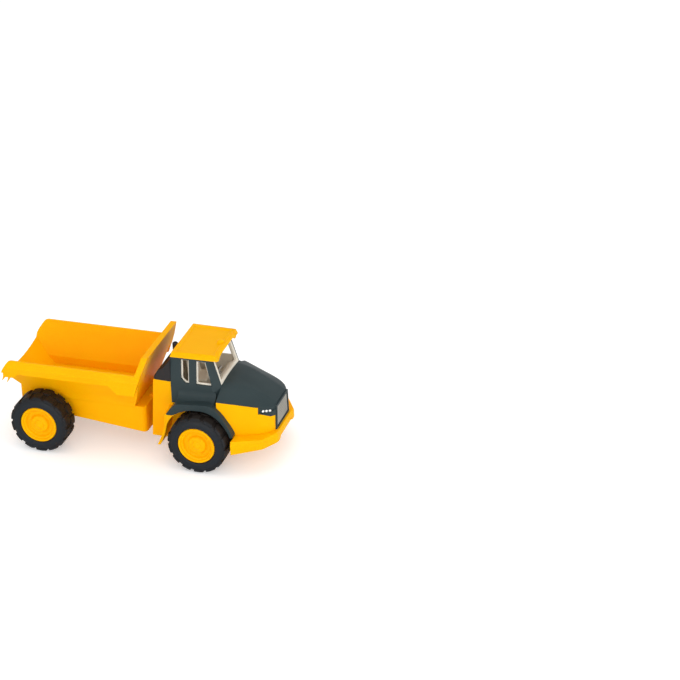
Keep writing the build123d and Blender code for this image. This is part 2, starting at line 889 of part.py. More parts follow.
cove_run = fender_knee_front - fender_knee_rear
cove_climb = fender_knee_front_z - fender_knee_rear_z
cove_length = (cove_run**2 + cove_climb**2) ** 0.5
for side_name, side in {"left": 1, "right": -1}.items():
    cove_plane = Plane(
        origin=(ahead(fender_knee_rear), side * cab_half, fender_knee_rear_z),
        x_dir=(0, side, 0),
        z_dir=(side * cove_run, 0, side * cove_climb),
    )
    with BuildPart() as fender:
        with BuildSketch(Plane.XZ.offset(-side * cab_half)):
            Polygon(*arch_outline, align=None)
            offset(amount=-fender_wall, kind=Kind.INTERSECTION, mode=Mode.SUBTRACT)
            Polygon(*arch_opening, align=None, mode=Mode.SUBTRACT)
        extrude(amount=-side * (fender_half - cab_half))
        outer_face = fender.faces().sort_by(Axis((0, 0, 0), (0, side, 0)))[-1]
        fillet(outer_face.edges().filter_by(on_ridge), fender_rounding)
        with BuildSketch(cove_plane):
            with BuildLine():
                ThreePointArc((0, cove_height), (cove_waist, cove_waist), (cove_width, 0))
                Polyline(
                    (cove_width, 0), (cove_width, -fender_wall / 2), (0, -fender_wall / 2), (0, cove_height)
                )
            make_face()
        extrude(amount=side * cove_length)
    fender.part.label = "fender_" + side_name
    export_step(fender.part, "parts/fender_" + side_name + ".step")

# Rear deck behind the cab, and the exhaust stack that stands on it
deck_shelf = box_rear_high - deck_shelf_setback
deck_rise = box_rear_high - deck_rise_setback
with BuildPart() as rear_deck:
    with BuildSketch(Plane.XZ):
        Polygon(
            (ahead(-cab_rear), box_top_z),
            (ahead(-box_rear_high), box_top_z),
            (ahead(-box_rear_high), deck_step_z),
            (ahead(-deck_shelf), deck_shelf_z),
            (ahead(-deck_rise), deck_shelf_z),
            (ahead(-cab_rear), deck_high_z),
            align=None,
        )
    extrude(amount=deck_half, both=True)
    with BuildSketch(Plane.XY.offset(box_top_z)):
        with Locations((ahead(stack_x), stack_y)):
            Circle(stack_radius + running_gap)
    extrude(amount=stack_top_z, mode=Mode.SUBTRACT)
rear_deck.part.label = "rear_deck"
export_step(rear_deck.part, "parts/rear_deck.step")

with BuildPart() as stack:
    with BuildSketch(Plane.XY.offset(box_top_z)):
        with Locations((ahead(stack_x), stack_y)):
            Circle(stack_radius)
    extrude(amount=stack_top_z - box_top_z)
    fillet(stack.edges().group_by(Axis.Z)[-1], stack_rounding)
stack.part.label = "exhaust_stack"
export_step(stack.part, "parts/exhaust_stack.step")

# Rear frame: tapered beam, tongue with the pivot eye, axle boss and a narrow end with the hinge boss
ear_outer_y = frame_half
ear_inner_y = ear_outer_y - bed_ear_wall
frame_end_x = hinge_x + bed_ear_radius + hinge_side_gap
frame_front_x = ahead(-frame_front)
with BuildPart() as rear_frame:
    with BuildSketch(Plane.XZ):
        Polygon(
            (frame_front_x, frame_low_z),
            (rear_axle_x + frame_rise_ahead, frame_rise_z),
            (frame_end_x, frame_end_z),
            (frame_end_x, frame_top_z),
            (frame_front_x, frame_top_z),
            align=None,
        )
    extrude(amount=frame_half, both=True)
    front_edges = rear_frame.edges().filter_by(Axis.Z).group_by(Axis.X)[-1]
    fillet(front_edges, frame_corner)
    with BuildSketch(Plane(origin=(rear_axle_x, 0, axle_z), z_dir=(0, 1, 0))):
        Circle(rear_boss_radius)
    extrude(amount=core_half, both=True)
    with BuildSketch(Plane.XZ):
        with Locations((hinge_x, hinge_z)):
            Circle(hinge_radius)
        Polygon(
            (frame_end_x, frame_end_z),
            (hinge_x, hinge_z - hinge_radius),
            (hinge_x, hinge_z + hinge_radius),
            (frame_end_x, frame_top_z),
            align=None,
        )
    extrude(amount=ear_inner_y - hinge_side_gap, both=True)
    with BuildSketch(Plane.XY.offset(tongue_low_z)):
        with Locations((pivot_x, 0)):
            Circle(tongue_half)
        Polygon(
            (frame_front_x - frame_corner, -tongue_half),
            (pivot_x, -tongue_half),
            (pivot_x, tongue_half),
            (frame_front_x - frame_corner, tongue_half),
            align=None,
        )
    extrude(amount=tongue_top_z - tongue_low_z)
    with BuildSketch(Plane.XY.offset(tongue_low_z)):
        with Locations((pivot_x, 0)):
            Circle(pivot_pin_radius + running_gap)
    extrude(amount=tongue_top_z - tongue_low_z, mode=Mode.SUBTRACT)
    with BuildSketch(Plane(origin=(rear_axle_x, 0, axle_z), z_dir=(0, 1, 0))):
        Circle(axle_radius + running_gap)
    extrude(amount=core_half, both=True, mode=Mode.SUBTRACT)
    with BuildSketch(Plane(origin=(hinge_x, 0, hinge_z), z_dir=(0, 1, 0))):
        Circle(hinge_pin_radius + running_gap)
    extrude(amount=frame_half, both=True, mode=Mode.SUBTRACT)
rear_frame.part.label = "rear_frame"
export_step(rear_frame.part, "parts/rear_frame.step")

# Pin of the tipping hinge
with BuildPart() as hinge_pin:
    with BuildSketch(Plane(origin=(hinge_x, 0, hinge_z), z_dir=(0, 1, 0))):
        Circle(hinge_pin_radius)
    extrude(amount=ear_outer_y, both=True)
hinge_pin.part.label = "hinge_pin"
export_step(hinge_pin.part, "parts/hinge_pin.step")

# Dump bed: trough with rails and upswept hollow tail, leaning headboard, side ears and hinge ears
head_lean = (bed_front_low - head_top_front) / (head_top_z - bed_floor_z)
wall_slope = (bed_waist_half - bed_bilge_half) / (bed_waist_z - bed_floor_z - bed_bilge_rise)
inner_bilge_half = bed_bilge_half - bed_wall
inner_bilge_z = bed_floor_z + bed_bilge_rise + bilge_inset_rise
inner_top_half = inner_bilge_half + wall_slope * (rail_top_z - inner_bilge_z)
tail_run = tail_rise_x - tail_end_x
tail_rise = tail_low_z - bed_floor_z
tail_slope = tail_rise / tail_run
tail_length = (tail_run**2 + tail_rise**2) ** 0.5
trough_section = mirrored([
    (bed_floor_half, bed_floor_z),
    (bed_bilge_half, bed_floor_z + bed_bilge_rise),
    (bed_waist_half, bed_waist_z),
    (rail_half_low, rail_low_z),
    (rail_half_mid, rail_mid_z),
    (rail_half_top, rail_top_z),
])
hollow_section = mirrored([
    (bed_floor_half - floor_edge_inset, bed_floor_z + bed_wall),
    (inner_bilge_half, inner_bilge_z),
    (inner_top_half, rail_top_z),
])


def head_x(z):
    """X of the headboard's front face at a height."""
    return ahead(-bed_front_low + head_lean * (z - bed_floor_z))


def under_tail(skin):
    """Space under the tail ramp, which dips in its middle, raised by the thickness of a skin."""
    ramp_plane = Plane(
        origin=(tail_rise_x, 0, bed_floor_z),
        x_dir=(0, -1, 0),
        z_dir=(-tail_run, 0, tail_rise),
    )
    edge_rise = skin + tail_sag * tail_run / tail_length
    with BuildPart() as space:
        with BuildSketch(ramp_plane):
            with BuildLine():
                ThreePointArc((-rail_half_mid, edge_rise), (0, skin), (rail_half_mid, edge_rise))
                Polyline(
                    (rail_half_mid, edge_rise),
                    (rail_half_mid, -tail_length),
                    (-rail_half_mid, -tail_length),
                    (-rail_half_mid, edge_rise),
                )
            make_face()
        extrude(amount=2 * tail_length, both=True)
    return space.part


bed_profile = [
    (head_x(bed_floor_z), bed_floor_z),
    (head_x(rail_top_z), rail_top_z),
    (tail_rail_x, rail_top_z),
    (tail_end_x + tail_knee_inset, tail_knee_z),
    (tail_end_x, tail_lip_z),
    (tail_end_x, bed_floor_z),
]
hollow_profile = [
    (head_x(bed_floor_z) - head_thickness, bed_floor_z),
    (head_x(rail_top_z) - head_thickness, rail_top_z),
    (tail_end_x, rail_top_z),
    (tail_end_x, bed_floor_z),
]
with BuildPart() as hollow:
    with BuildSketch(Plane.YZ.offset(tail_end_x)):
        Polygon(*hollow_section, align=None)
    extrude(amount=wheelbase)
    with BuildSketch(Plane.XZ):
        Polygon(*hollow_profile, align=None)
    extrude(amount=rail_half_mid, both=True, mode=Mode.INTERSECT)
    add(under_tail(bed_wall), mode=Mode.SUBTRACT)

head_outline = mirrored([
    (bed_floor_half, bed_floor_z),
    (bed_bilge_half, bed_floor_z + bed_bilge_rise),
    (bed_waist_half, bed_waist_z),
    (head_half_rail, bed_waist_z),
    (head_half_rail, rail_top_z),
    (head_half_top, head_top_z),
])
with BuildPart() as headboard:
    with BuildSketch(Plane.XZ):
        Polygon(
            (head_x(bed_floor_z), bed_floor_z),
            (head_x(head_top_z), head_top_z),
            (head_x(head_top_z) - head_thickness, head_top_z),
            (head_x(bed_floor_z) - head_thickness, bed_floor_z),
            align=None,
        )
    extrude(amount=rail_half_mid, both=True)
    with BuildSketch(Plane.YZ.offset(tail_end_x)):
        Polygon(*head_outline, align=None)
    extrude(amount=wheelbase, mode=Mode.INTERSECT)

with BuildPart() as dump_bed:
    with BuildSketch(Plane.YZ.offset(tail_end_x)):
        Polygon(*trough_section, align=None)
    extrude(amount=wheelbase)
    with BuildSketch(Plane.XZ):
        Polygon(*bed_profile, align=None)
    extrude(amount=rail_half_mid, both=True, mode=Mode.INTERSECT)
    add(under_tail(0), mode=Mode.SUBTRACT)
    add(hollow.part, mode=Mode.SUBTRACT)
    add(headboard.part)
    front_ear_end = head_x(ear_low_z) - ear_length
    tail_ear_start = tail_end_x + tail_ear_inset
    tail_ear_end = tail_ear_start + tail_ear_length
    side_ears = [
        [
            (head_x(rail_mid_z), rail_mid_z),
            (head_x(ear_low_z), ear_low_z),
            (front_ear_end, ear_low_z),
            (front_ear_end - rail_low_z + ear_low_z, rail_low_z),
            (front_ear_end - rail_low_z + ear_low_z, rail_mid_z),
        ],
        [
            (tail_ear_start, rail_low_z),
            (tail_ear_start, tail_ear_low_z),
            (tail_ear_end, tail_ear_low_z),
            (tail_ear_end + rail_low_z - tail_ear_low_z, rail_low_z),
            (tail_ear_end + rail_low_z - tail_ear_low_z, rail_mid_z),
            (tail_ear_start + tail_knee_inset, rail_mid_z),
        ],
    ]
    for side in (1, -1):
        with BuildSketch(Plane.XZ.offset(-side * (rail_half_low - ear_wall))):
            for ear_outline in side_ears:
                Polygon(*ear_outline, align=None)
        extrude(amount=-side * ear_wall)
    ear_sag = tail_sag * (ear_inner_y / rail_half_mid) ** 2
    ear_top_z = bed_floor_z + bed_wall / 2
    ear_rear_x = hinge_x - bed_ear_radius
    ear_rear_z = ear_top_z + ear_sag + tail_slope * (tail_rise_x - ear_rear_x)
    for side in (1, -1):
        with BuildSketch(Plane.XZ.offset(-side * ear_inner_y)):
            with Locations((hinge_x, hinge_z)):
                Circle(bed_ear_radius)
            Polygon(
                (ear_rear_x, hinge_z),
                (hinge_x + bed_ear_radius, hinge_z),
                (hinge_x + bed_ear_radius, ear_top_z),
                (tail_rise_x, ear_top_z),
                (ear_rear_x, ear_rear_z),
                align=None,
            )
            with Locations((hinge_x, hinge_z)):
                Circle(hinge_pin_radius + running_gap, mode=Mode.SUBTRACT)
        extrude(amount=-side * bed_ear_wall)
dump_bed.part.label = "dump_bed"
export_step(dump_bed.part, "parts/dump_bed.step")
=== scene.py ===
"""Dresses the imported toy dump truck: moulded edges, lugged tyres, turned rims, small trim, finishes and studio.

Sizes are in millimetres where no other unit is named. Places count ahead from the front axle, left from the
middle and up from the floor.
"""

import itertools
import json
import logging
import math
from abc import ABC, abstractmethod
from dataclasses import dataclass, field
from enum import Enum
from typing import Any, Callable, Iterable, Sequence

import bmesh
import bpy
from mathutils import Matrix, Vector


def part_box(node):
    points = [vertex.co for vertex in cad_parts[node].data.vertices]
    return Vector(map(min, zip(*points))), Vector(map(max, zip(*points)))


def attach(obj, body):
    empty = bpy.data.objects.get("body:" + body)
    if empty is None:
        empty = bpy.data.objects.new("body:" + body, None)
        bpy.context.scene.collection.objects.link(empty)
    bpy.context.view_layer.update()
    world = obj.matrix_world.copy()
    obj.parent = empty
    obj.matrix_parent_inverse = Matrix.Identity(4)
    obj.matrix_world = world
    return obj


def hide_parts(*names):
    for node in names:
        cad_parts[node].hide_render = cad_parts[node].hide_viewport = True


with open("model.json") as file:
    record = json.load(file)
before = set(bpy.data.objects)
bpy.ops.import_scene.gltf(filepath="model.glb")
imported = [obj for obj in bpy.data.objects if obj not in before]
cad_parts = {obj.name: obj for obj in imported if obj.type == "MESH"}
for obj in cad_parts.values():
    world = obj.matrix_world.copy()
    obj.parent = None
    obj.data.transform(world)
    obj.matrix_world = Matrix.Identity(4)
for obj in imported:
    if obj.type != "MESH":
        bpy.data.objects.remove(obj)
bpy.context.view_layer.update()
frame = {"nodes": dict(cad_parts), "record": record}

LOG = logging.getLogger("toy_truck")
MM = 0.001
BODY_OF: dict[str, str] = {
    node: body for body, nodes in frame["record"]["behaviour"]["bodies"].items() for node in nodes
}
SLOT_OF: dict[str, str] = {part["node"]: part["material_slot"] for part in frame["record"]["subparts"]}
AXLE_LOW, AXLE_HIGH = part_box("front_axle")
FRONT_X = (AXLE_LOW.x + AXLE_HIGH.x) / 2
MERGE_GAP = 0.002 * MM
FLAT_ANGLE = math.radians(0.6)
SMOOTH_ANGLE = 32.0
UP_FACING = 0.9

Colour = tuple[float, float, float, float]
Point = tuple[float, float, float]
Profile = Sequence[tuple[float, float]]
Piece = bpy.types.Object

GLOW_TINT: Point = (1.0, 0.3, 0.04)

ALONG = Vector((1.0, 0.0, 0.0))
ACROSS = Vector((0.0, 1.0, 0.0))
UPWARD = Vector((0.0, 0.0, 1.0))


class Side(Enum):
    """Sides of the truck, with the sign of their Y."""

    LEFT = 1
    RIGHT = -1

    @property
    def label(self) -> str:
        """Side as it stands in names."""
        return self.name.lower()


class Pick(Enum):
    """Kinds of elements of a mesh, under Blender's names of the select modes."""

    FACE = "faces"
    EDGE = "edges"
    VERT = "verts"


def at(ahead: float, left: float, height: float) -> Vector:
    """Place in metres of a point ahead of the front axle, left of the middle and above the floor."""
    return Vector((FRONT_X + ahead * MM, left * MM, height * MM))


def upright(profile: Profile, left: float) -> list[Vector]:
    """Places of an outline that is drawn ahead of the front axle and in height, left of the middle."""
    return [at(ahead, left, height) for ahead, height in profile]


def grey(level: float) -> Colour:
    """Grey of a brightness."""
    return (level, level, level, 1.0)


def shaded(colour: Colour, factor: float) -> Colour:
    """Colour with its brightness changed by a factor."""
    return tuple(value * factor for value in colour[:3]) + (1.0,)


class Term:
    """A shader socket that takes part in arithmetic: each operator adds one Math node."""

    def __init__(self, tree: "ShaderTree", socket: bpy.types.NodeSocket) -> None:
        """Keep the tree and the socket that the term stands for."""
        self.tree = tree
        self.socket = socket

    def _math(self, operation: str, first: "Value", second: "Value") -> "Term":
        """Add a Math node on two values."""
        return self.tree.node("ShaderNodeMath", {"operation": operation}, {0: first, 1: second})

    def __add__(self, other: "Value") -> "Term":
        """Sum of two values."""
        return self._math("ADD", self, other)

    __radd__ = __add__

    def __sub__(self, other: "Value") -> "Term":
        """Difference of two values."""
        return self._math("SUBTRACT", self, other)

    def __rsub__(self, other: "Value") -> "Term":
        """Difference with the term on the right."""
        return self._math("SUBTRACT", other, self)

    def __mul__(self, other: "Value") -> "Term":
        """Product of two values."""
        return self._math("MULTIPLY", self, other)

    __rmul__ = __mul__

    def __abs__(self) -> "Term":
        """Value without its sign."""
        return self._math("ABSOLUTE", self, 0.0)


Value = Term | float


class ShaderTree:
    """Node tree of one material or of the world, written as expressions on terms."""

    def __init__(self, owner: bpy.types.Material | bpy.types.World, surface: str) -> None:
        """Open the tree of a new material or world.

        Args:
            owner: material or world.
            surface: name of the shader node that it starts with.
        """
        owner.use_nodes = True
        self.owner = owner
        self.nodes = owner.node_tree.nodes
        self.links = owner.node_tree.links
        self.surface = self.nodes[surface]
        self.place = self.node("ShaderNodeTexCoord", output="Object")

    @classmethod
    def for_material(cls, name: str) -> "ShaderTree":
        """Tree of a new material."""
        return cls(bpy.data.materials.new(name), "Principled BSDF")

    @classmethod
    def for_world(cls, name: str) -> "ShaderTree":
        """Tree of a new world."""
        return cls(bpy.data.worlds.new(name), "Background")

    def node(
        self, kind: str, settings: dict | None = None, inputs: dict | None = None, output: int | str = 0
    ) -> Term:
        """Add any node.

        Args:
            kind: Blender's name of the node's type.
            settings: properties of the node; "stops" gives a ramp's positions and colours.
            inputs: values or terms of its sockets, by name or number.
            output: name or number of the socket to return.

        Returns:
            The chosen output as a term.
        """
        made = self.nodes.new(kind)
        for key, value in (settings or {}).items():
            if key == "stops":
                for stop, (position, colour) in zip(made.color_ramp.elements, value):
                    stop.position = position
                    stop.color = colour
            else:
                setattr(made, key, value)
        for key, value in (inputs or {}).items():
            self.feed(made.inputs[key], value)
        return Term(self, made.outputs[output])

    def feed(self, socket: bpy.types.NodeSocket, value: object) -> None:
        """Link a term to a socket, or set the socket's own value.

        Args:
            socket: input of a node.
            value: term or plain value.
        """
        if isinstance(value, Term):
            self.links.new(value.socket, socket)
        else:
            socket.default_value = value

    def shade(self, **inputs: object) -> None:
        """Set inputs of the surface shader, named with underscores for spaces."""
        for key, value in inputs.items():
            self.feed(self.surface.inputs[key.replace("_", " ")], value)

    def noise(self, scale: float, detail: float = 2.0, stretch: Point = (1.0, 1.0, 1.0)) -> Term:
        """Noise of about 0.3 to 0.7, by its cells in a metre, octaves of finer noise and factors on the axes."""
        place = self.node("ShaderNodeMapping", inputs={"Vector": self.place, "Scale": stretch})
        return self.node("ShaderNodeTexNoise", inputs={"Vector": place, "Scale": scale, "Detail": detail})

    def ramp(self, value: Term, low: float, high: float) -> Term:
        """Rise from 0 to 1 between two values of a term."""
        stops = [(low, grey(0.0)), (high, grey(1.0))]
        return self.node("ShaderNodeValToRGB", {"stops": stops}, {"Fac": value})

    def mix(self, share: Value, first: object, second: object) -> Term:
        """Colour between two colours, by a share of the second."""
        return self.node("ShaderNodeMix", {"data_type": "RGBA"}, {0: share, 6: first, 7: second}, output=2)

    def bump(self, height: Term, depth: float) -> Term:
        """Normal of a surface with that relief, whose depth is in metres."""
        return self.node("ShaderNodeBump", inputs={"Height": height, "Distance": depth, "Strength": 1.0})

    def seen(self) -> Term:
        """1 for rays from the camera, else 0."""
        return self.node("ShaderNodeLightPath", output="Is Camera Ray")


@dataclass(frozen=True)
class MouldedPlastic:
    """Injection-moulded plastic with slow flow tones, fine grain and faint handling scuffs."""

    name: str
    colour: Colour  # main colour
    deep: Colour  # colour that the flow tones lean to
    roughness: float  # middle roughness
    spread: float = 0.16  # how far the roughness drifts
    grain_depth: float = 0.000012  # depth of the fine grain in metres
    sink_depth: float = 0.00022  # depth of the slow sink marks in metres
    scuffs: float = 0.12  # strength of the scuffs
    coat: float = 0.0  # weight of the glossy skin
    shine: float = 0.35  # level of the mirror part
    glow: float = 0.0  # share of the light that passes under the surface
    glow_reach: float = 0.005  # how far that light goes in metres
    flow_scale: float = 22.0  # flow tones in a metre
    sink_scale: float = 34.0  # sink marks in a metre
    grain_scale: float = 2600.0  # grains in a metre
    scuff_scale: float = 420.0  # scuffs in a metre

    def material(self) -> bpy.types.Material:
        """Build the material.

        Returns:
            The finished material.
        """
        tree = ShaderTree.for_material(self.name)
        flow = tree.noise(self.flow_scale, 3.0, (1.0, 1.7, 1.3))
        sink = tree.noise(self.sink_scale, 1.0)
        grain = tree.noise(self.grain_scale)
        scuff = tree.ramp(tree.noise(self.scuff_scale, 4.0, (0.16, 1.0, 1.0)), 0.62, 0.74)
        worn = scuff * self.scuffs
        tone = tree.mix(tree.ramp(flow, 0.3, 0.7), self.colour, self.deep)
        tree.shade(
            Base_Color=tone,
            Roughness=self.roughness + (flow - 0.5) * self.spread + worn + (grain - 0.5) * 0.05,
            Normal=tree.bump(sink * (self.sink_depth / self.grain_depth) + grain - scuff * 0.5, self.grain_depth),
            Coat_Weight=self.coat,
            Coat_Roughness=0.12,
            Specular_IOR_Level=self.shine,
            Subsurface_Weight=self.glow,
            Subsurface_Radius=GLOW_TINT,
            Subsurface_Scale=self.glow_reach,
        )
        return tree.owner


@dataclass(frozen=True)
class TyreRubber:
    """Soft moulded rubber, satin and cool on the side walls, dull and warm on the tread."""

    name: str
    wall: Colour  # colour of the side walls
    tread: Colour  # colour of the tread
    roughness: float  # middle roughness of the side walls
    wall_inner: float = 0.0386  # distance of the inner side walls from the truck's middle in metres
    wall_outer: float = 0.0604  # distance of the outer side walls from the truck's middle in metres
    grain_depth: float = 0.00003  # depth of the pitted grain in metres
    grain_scale: float = 1900.0  # grains in a metre
    patch_scale: float = 95.0  # worn patches in a metre

    def material(self) -> bpy.types.Material:
        """Build the material.

        Returns:
            The finished material.
        """
        tree = ShaderTree.for_material(self.name)
        reach = abs(tree.node("ShaderNodeSeparateXYZ", inputs={0: tree.place}, output="Y"))
        outer = tree.ramp(reach, self.wall_outer, self.wall_outer + MM)
        inner = tree.ramp(reach, self.wall_inner - MM, self.wall_inner)
        tread = inner - outer
        patches = tree.ramp(tree.noise(self.patch_scale, 5.0), 0.42, 0.68)
        grain = tree.noise(self.grain_scale, 3.0)
        worn = shaded(self.tread, 1.5)
        tree.shade(
            Base_Color=tree.mix(tread, self.wall, tree.mix(patches * 0.6, self.tread, worn)),
            Roughness=self.roughness + tread * 0.14 + patches * 0.1 + (grain - 0.5) * 0.2,
            Normal=tree.bump(grain + patches * 0.4, self.grain_depth),
            Specular_IOR_Level=0.24,
        )
        return tree.owner


@dataclass(frozen=True)
class DrawnSteel:
    """Drawn steel rod with fine lines along it."""

    name: str
    colour: Colour  # colour of the metal
    roughness: float  # middle roughness
    along: Point = (1.0, 0.03, 1.0)  # stretch of the lines on the three axes
    line_depth: float = 0.000008  # depth of the lines in metres
    line_scale: float = 2400.0  # lines in a metre

    def material(self) -> bpy.types.Material:
        """Build the material.

        Returns:
            The finished material.
        """
        tree = ShaderTree.for_material(self.name)
        lines = tree.noise(self.line_scale, 3.0, self.along)
        tree.shade(
            Base_Color=tree.mix(lines * 0.5, self.colour, shaded(self.colour, 0.6)),
            Roughness=self.roughness + (lines - 0.5) * 0.3,
            Normal=tree.bump(lines, self.line_depth),
            Metallic=1.0,
        )
        return tree.owner


FINISHES: dict[str, MouldedPlastic | TyreRubber | DrawnSteel] = {
    "yellow_plastic": MouldedPlastic(
        "sun_yellow_plastic", (0.98, 0.455, 0.0, 1.0), (0.96, 0.425, 0.0, 1.0), 0.42, shine=0.05, glow=0.25
    ),
    "dark_plastic": MouldedPlastic(
        "slate_plastic", (0.026, 0.042, 0.045, 1.0), (0.021, 0.035, 0.038, 1.0), 0.46, shine=0.22
    ),
    "cream_plastic": MouldedPlastic(
        "cream_plastic", (0.80, 0.75, 0.64, 1.0), (0.74, 0.68, 0.57, 1.0), 0.5
    ),
    "black_plastic": MouldedPlastic(
        "black_plastic", (0.014, 0.011, 0.012, 1.0), (0.011, 0.009, 0.010, 1.0), 0.36
    ),
    "grey_plastic": MouldedPlastic(
        "warm_grey_plastic", (0.37, 0.355, 0.31, 1.0), (0.27, 0.255, 0.225, 1.0), 0.48, scuffs=0.2, shine=0.25
    ),
    "lamp_white": MouldedPlastic(
        "lamp_white_plastic", (0.86, 0.86, 0.84, 1.0), (0.82, 0.82, 0.79, 1.0), 0.22, coat=0.4
    ),
    "tyre_black": TyreRubber("tyre_rubber", (0.008, 0.012, 0.017, 1.0), (0.012, 0.008, 0.006, 1.0), 0.44),
    "steel": DrawnSteel("drawn_steel", (0.55, 0.55, 0.56, 1.0), 0.3),
}


class Finishes:
    """Materials of the truck, each made once."""

    made: dict[str, bpy.types.Material] = {}

    @classmethod
    def get(cls, slot: str) -> bpy.types.Material:
        """Make a material on its first use.

        Args:
            slot: slot of the record.

        Returns:
            The slot's material.
        """
        if slot not in cls.made:
            cls.made[slot] = FINISHES[slot].material()
        return cls.made[slot]


@dataclass(frozen=True)
class Edge:
    """Rounding of a piece's edges."""

    width: float  # width of the rounding
    angle: float = 30.0  # least angle between two faces of a rounded edge in degrees
    segments: int = 3  # faces across the rounding


class Bench:
    """Edit-mode steps that all pieces share."""

    @staticmethod
    def clear() -> None:
        """Leave edit mode and deselect every object."""
        if bpy.context.object and bpy.context.object.mode != "OBJECT":
            bpy.ops.object.mode_set(mode="OBJECT")
        bpy.ops.object.select_all(action="DESELECT")

    @classmethod
    def hold(cls, piece: Piece) -> None:
        """Make one object the only selected and the active one.

        Args:
            piece: object to hold.
        """
        cls.clear()
        piece.select_set(True)
        bpy.context.view_layer.objects.active = piece

    @classmethod
    def edit(cls, piece: Piece) -> None:
        """Open a piece in edit mode with everything selected.

        Args:
            piece: object to open.
        """
        cls.hold(piece)
        bpy.ops.object.mode_set(mode="EDIT")
        bpy.ops.mesh.select_mode(type="FACE")
        bpy.ops.mesh.select_all(action="SELECT")

    @staticmethod
    def pick(piece: Piece, kind: Pick, test: Callable[[Any], bool]) -> None:
        """Select the elements of the open piece that pass a test.

        Args:
            piece: object in edit mode.
            kind: kind of the elements.
            test: whether an element is wanted.
        """
        bpy.ops.mesh.select_mode(type=kind.name)
        bpy.ops.mesh.select_all(action="DESELECT")
        mesh = bmesh.from_edit_mesh(piece.data)
        for element in getattr(mesh, kind.value):
            element.select_set(test(element))
        mesh.select_flush_mode()
        bmesh.update_edit_mesh(piece.data)

    @classmethod
    def close(cls, piece: Piece) -> None:
        """Merge doubles, turn the faces outwards and leave edit mode.

        Args:
            piece: object in edit mode.
        """
        bpy.ops.mesh.select_all(action="SELECT")
        bpy.ops.mesh.remove_doubles(threshold=MERGE_GAP)
        bpy.ops.mesh.normals_make_consistent(inside=False)
        cls.hold(piece)

    @classmethod
    def trace(cls, name: str, places: list[Vector]) -> Piece:
        """Extrude a vertex from place to place.

        Args:
            name: name of the piece.
            places: places in metres; the first again at the end closes the line.

        Returns:
            The line, open in edit mode with all of it selected.
        """
        cls.clear()
        bpy.ops.mesh.primitive_plane_add(size=MM, location=places[0])
        piece = bpy.context.object
        piece.name = name
        cls.settle(piece)
        cls.edit(piece)
        bpy.ops.mesh.select_mode(type="VERT")
        bpy.ops.mesh.select_all(action="SELECT")
        bpy.ops.mesh.merge(type="CENTER")
        for before, after in zip(places, places[1:]):
            bpy.ops.mesh.extrude_vertices_move(TRANSFORM_OT_translate={"value": after - before})
        bpy.ops.mesh.select_all(action="SELECT")
        bpy.ops.mesh.remove_doubles(threshold=MERGE_GAP)
        bpy.ops.mesh.select_all(action="SELECT")
        return piece

    @classmethod
    def plate(cls, name: str, outline: list[Vector], through: Vector, edge: Edge | None = None) -> Piece:
        """Fill an outline and extrude it.

        Args:
            name: name of the piece.
            outline: corners in metres, all in one plane.
            through: way from one face to the other in metres.
            edge: rounding, if it has one.

        Returns:
            The plate, closed and facing outwards.
        """
        piece = cls.trace(name, [*outline, outline[0]])
        bpy.ops.mesh.edge_face_add()
        bpy.ops.mesh.extrude_region_move(TRANSFORM_OT_translate={"value": through})
        cls.close(piece)
        if edge:
            cls.round_edges(piece, edge)
        return piece

    @classmethod
    def turn(
        cls,
        name: str,
        centre: Vector,
        profile: Profile,
        steps: int,
        axis: Vector = ACROSS,
        arm: Vector = UPWARD,
        edge: Edge | None = None,
    ) -> Piece:
        """Spin a profile about an axis.

        Args:
            name: name of the piece.
            centre: point of the axis in metres from which the profile is drawn.
            profile: radius and place along the axis of each point.
            steps: segments round the axis.
            axis: direction of the axis.
            arm: direction of the radius where the line is drawn.
            edge: rounding, if it has one.

        Returns:
            The turned piece, closed and facing outwards.
        """
        piece = cls.trace(name, [centre + (axis * along + arm * radius) * MM for radius, along in profile])
        bpy.ops.mesh.spin(steps=steps, angle=math.tau, center=centre, axis=axis)
        cls.close(piece)
        if edge:
            cls.round_edges(piece, edge)
        return piece

    @classmethod
    def round_edges(cls, piece: Piece, edge: Edge) -> None:
        """Round the edges of a piece and shade it.

        Args:
            piece: object to round.
            edge: width, least angle and faces of the rounding.
        """
        cls.hold(piece)
        bevel = piece.modifiers.new("rounding", "BEVEL")
        bevel.width = edge.width * MM
        bevel.segments = edge.segments
        bevel.limit_method = "ANGLE"
        bevel.angle_limit = math.radians(edge.angle)
        bevel.miter_outer = "MITER_ARC"
        bevel.use_clamp_overlap = True
        bpy.ops.object.modifier_apply(modifier=bevel.name)
        cls.smooth(piece, max(edge.angle, SMOOTH_ANGLE))

    @classmethod
    def smooth(cls, piece: Piece, angle: float) -> None:
        """Shade a piece smoothly up to an angle, with its large faces flat.

        Args:
            piece: object to shade.
            angle: largest smooth angle between two faces in degrees.
        """
        cls.hold(piece)
        bpy.ops.object.shade_smooth_by_angle(angle=math.radians(angle))
        flats = piece.modifiers.new("flat_faces", "WEIGHTED_NORMAL")
        flats.keep_sharp = True
        bpy.ops.object.modifier_apply(modifier=flats.name)

    @classmethod
    def join(cls, pieces: list[Piece]) -> Piece:
        """Join pieces to one.

        Args:
            pieces: objects, of which the first takes the others in.

        Returns:
            The first.
        """
        cls.hold(pieces[0])
        for piece in pieces[1:]:
            piece.select_set(True)
        if len(pieces) > 1:
            bpy.ops.object.join()
        return pieces[0]

    @classmethod
    def settle(cls, piece: Piece) -> None:
        """Move a piece's place into its mesh."""
        cls.hold(piece)
        bpy.ops.object.transform_apply(location=True, rotation=True, scale=True)

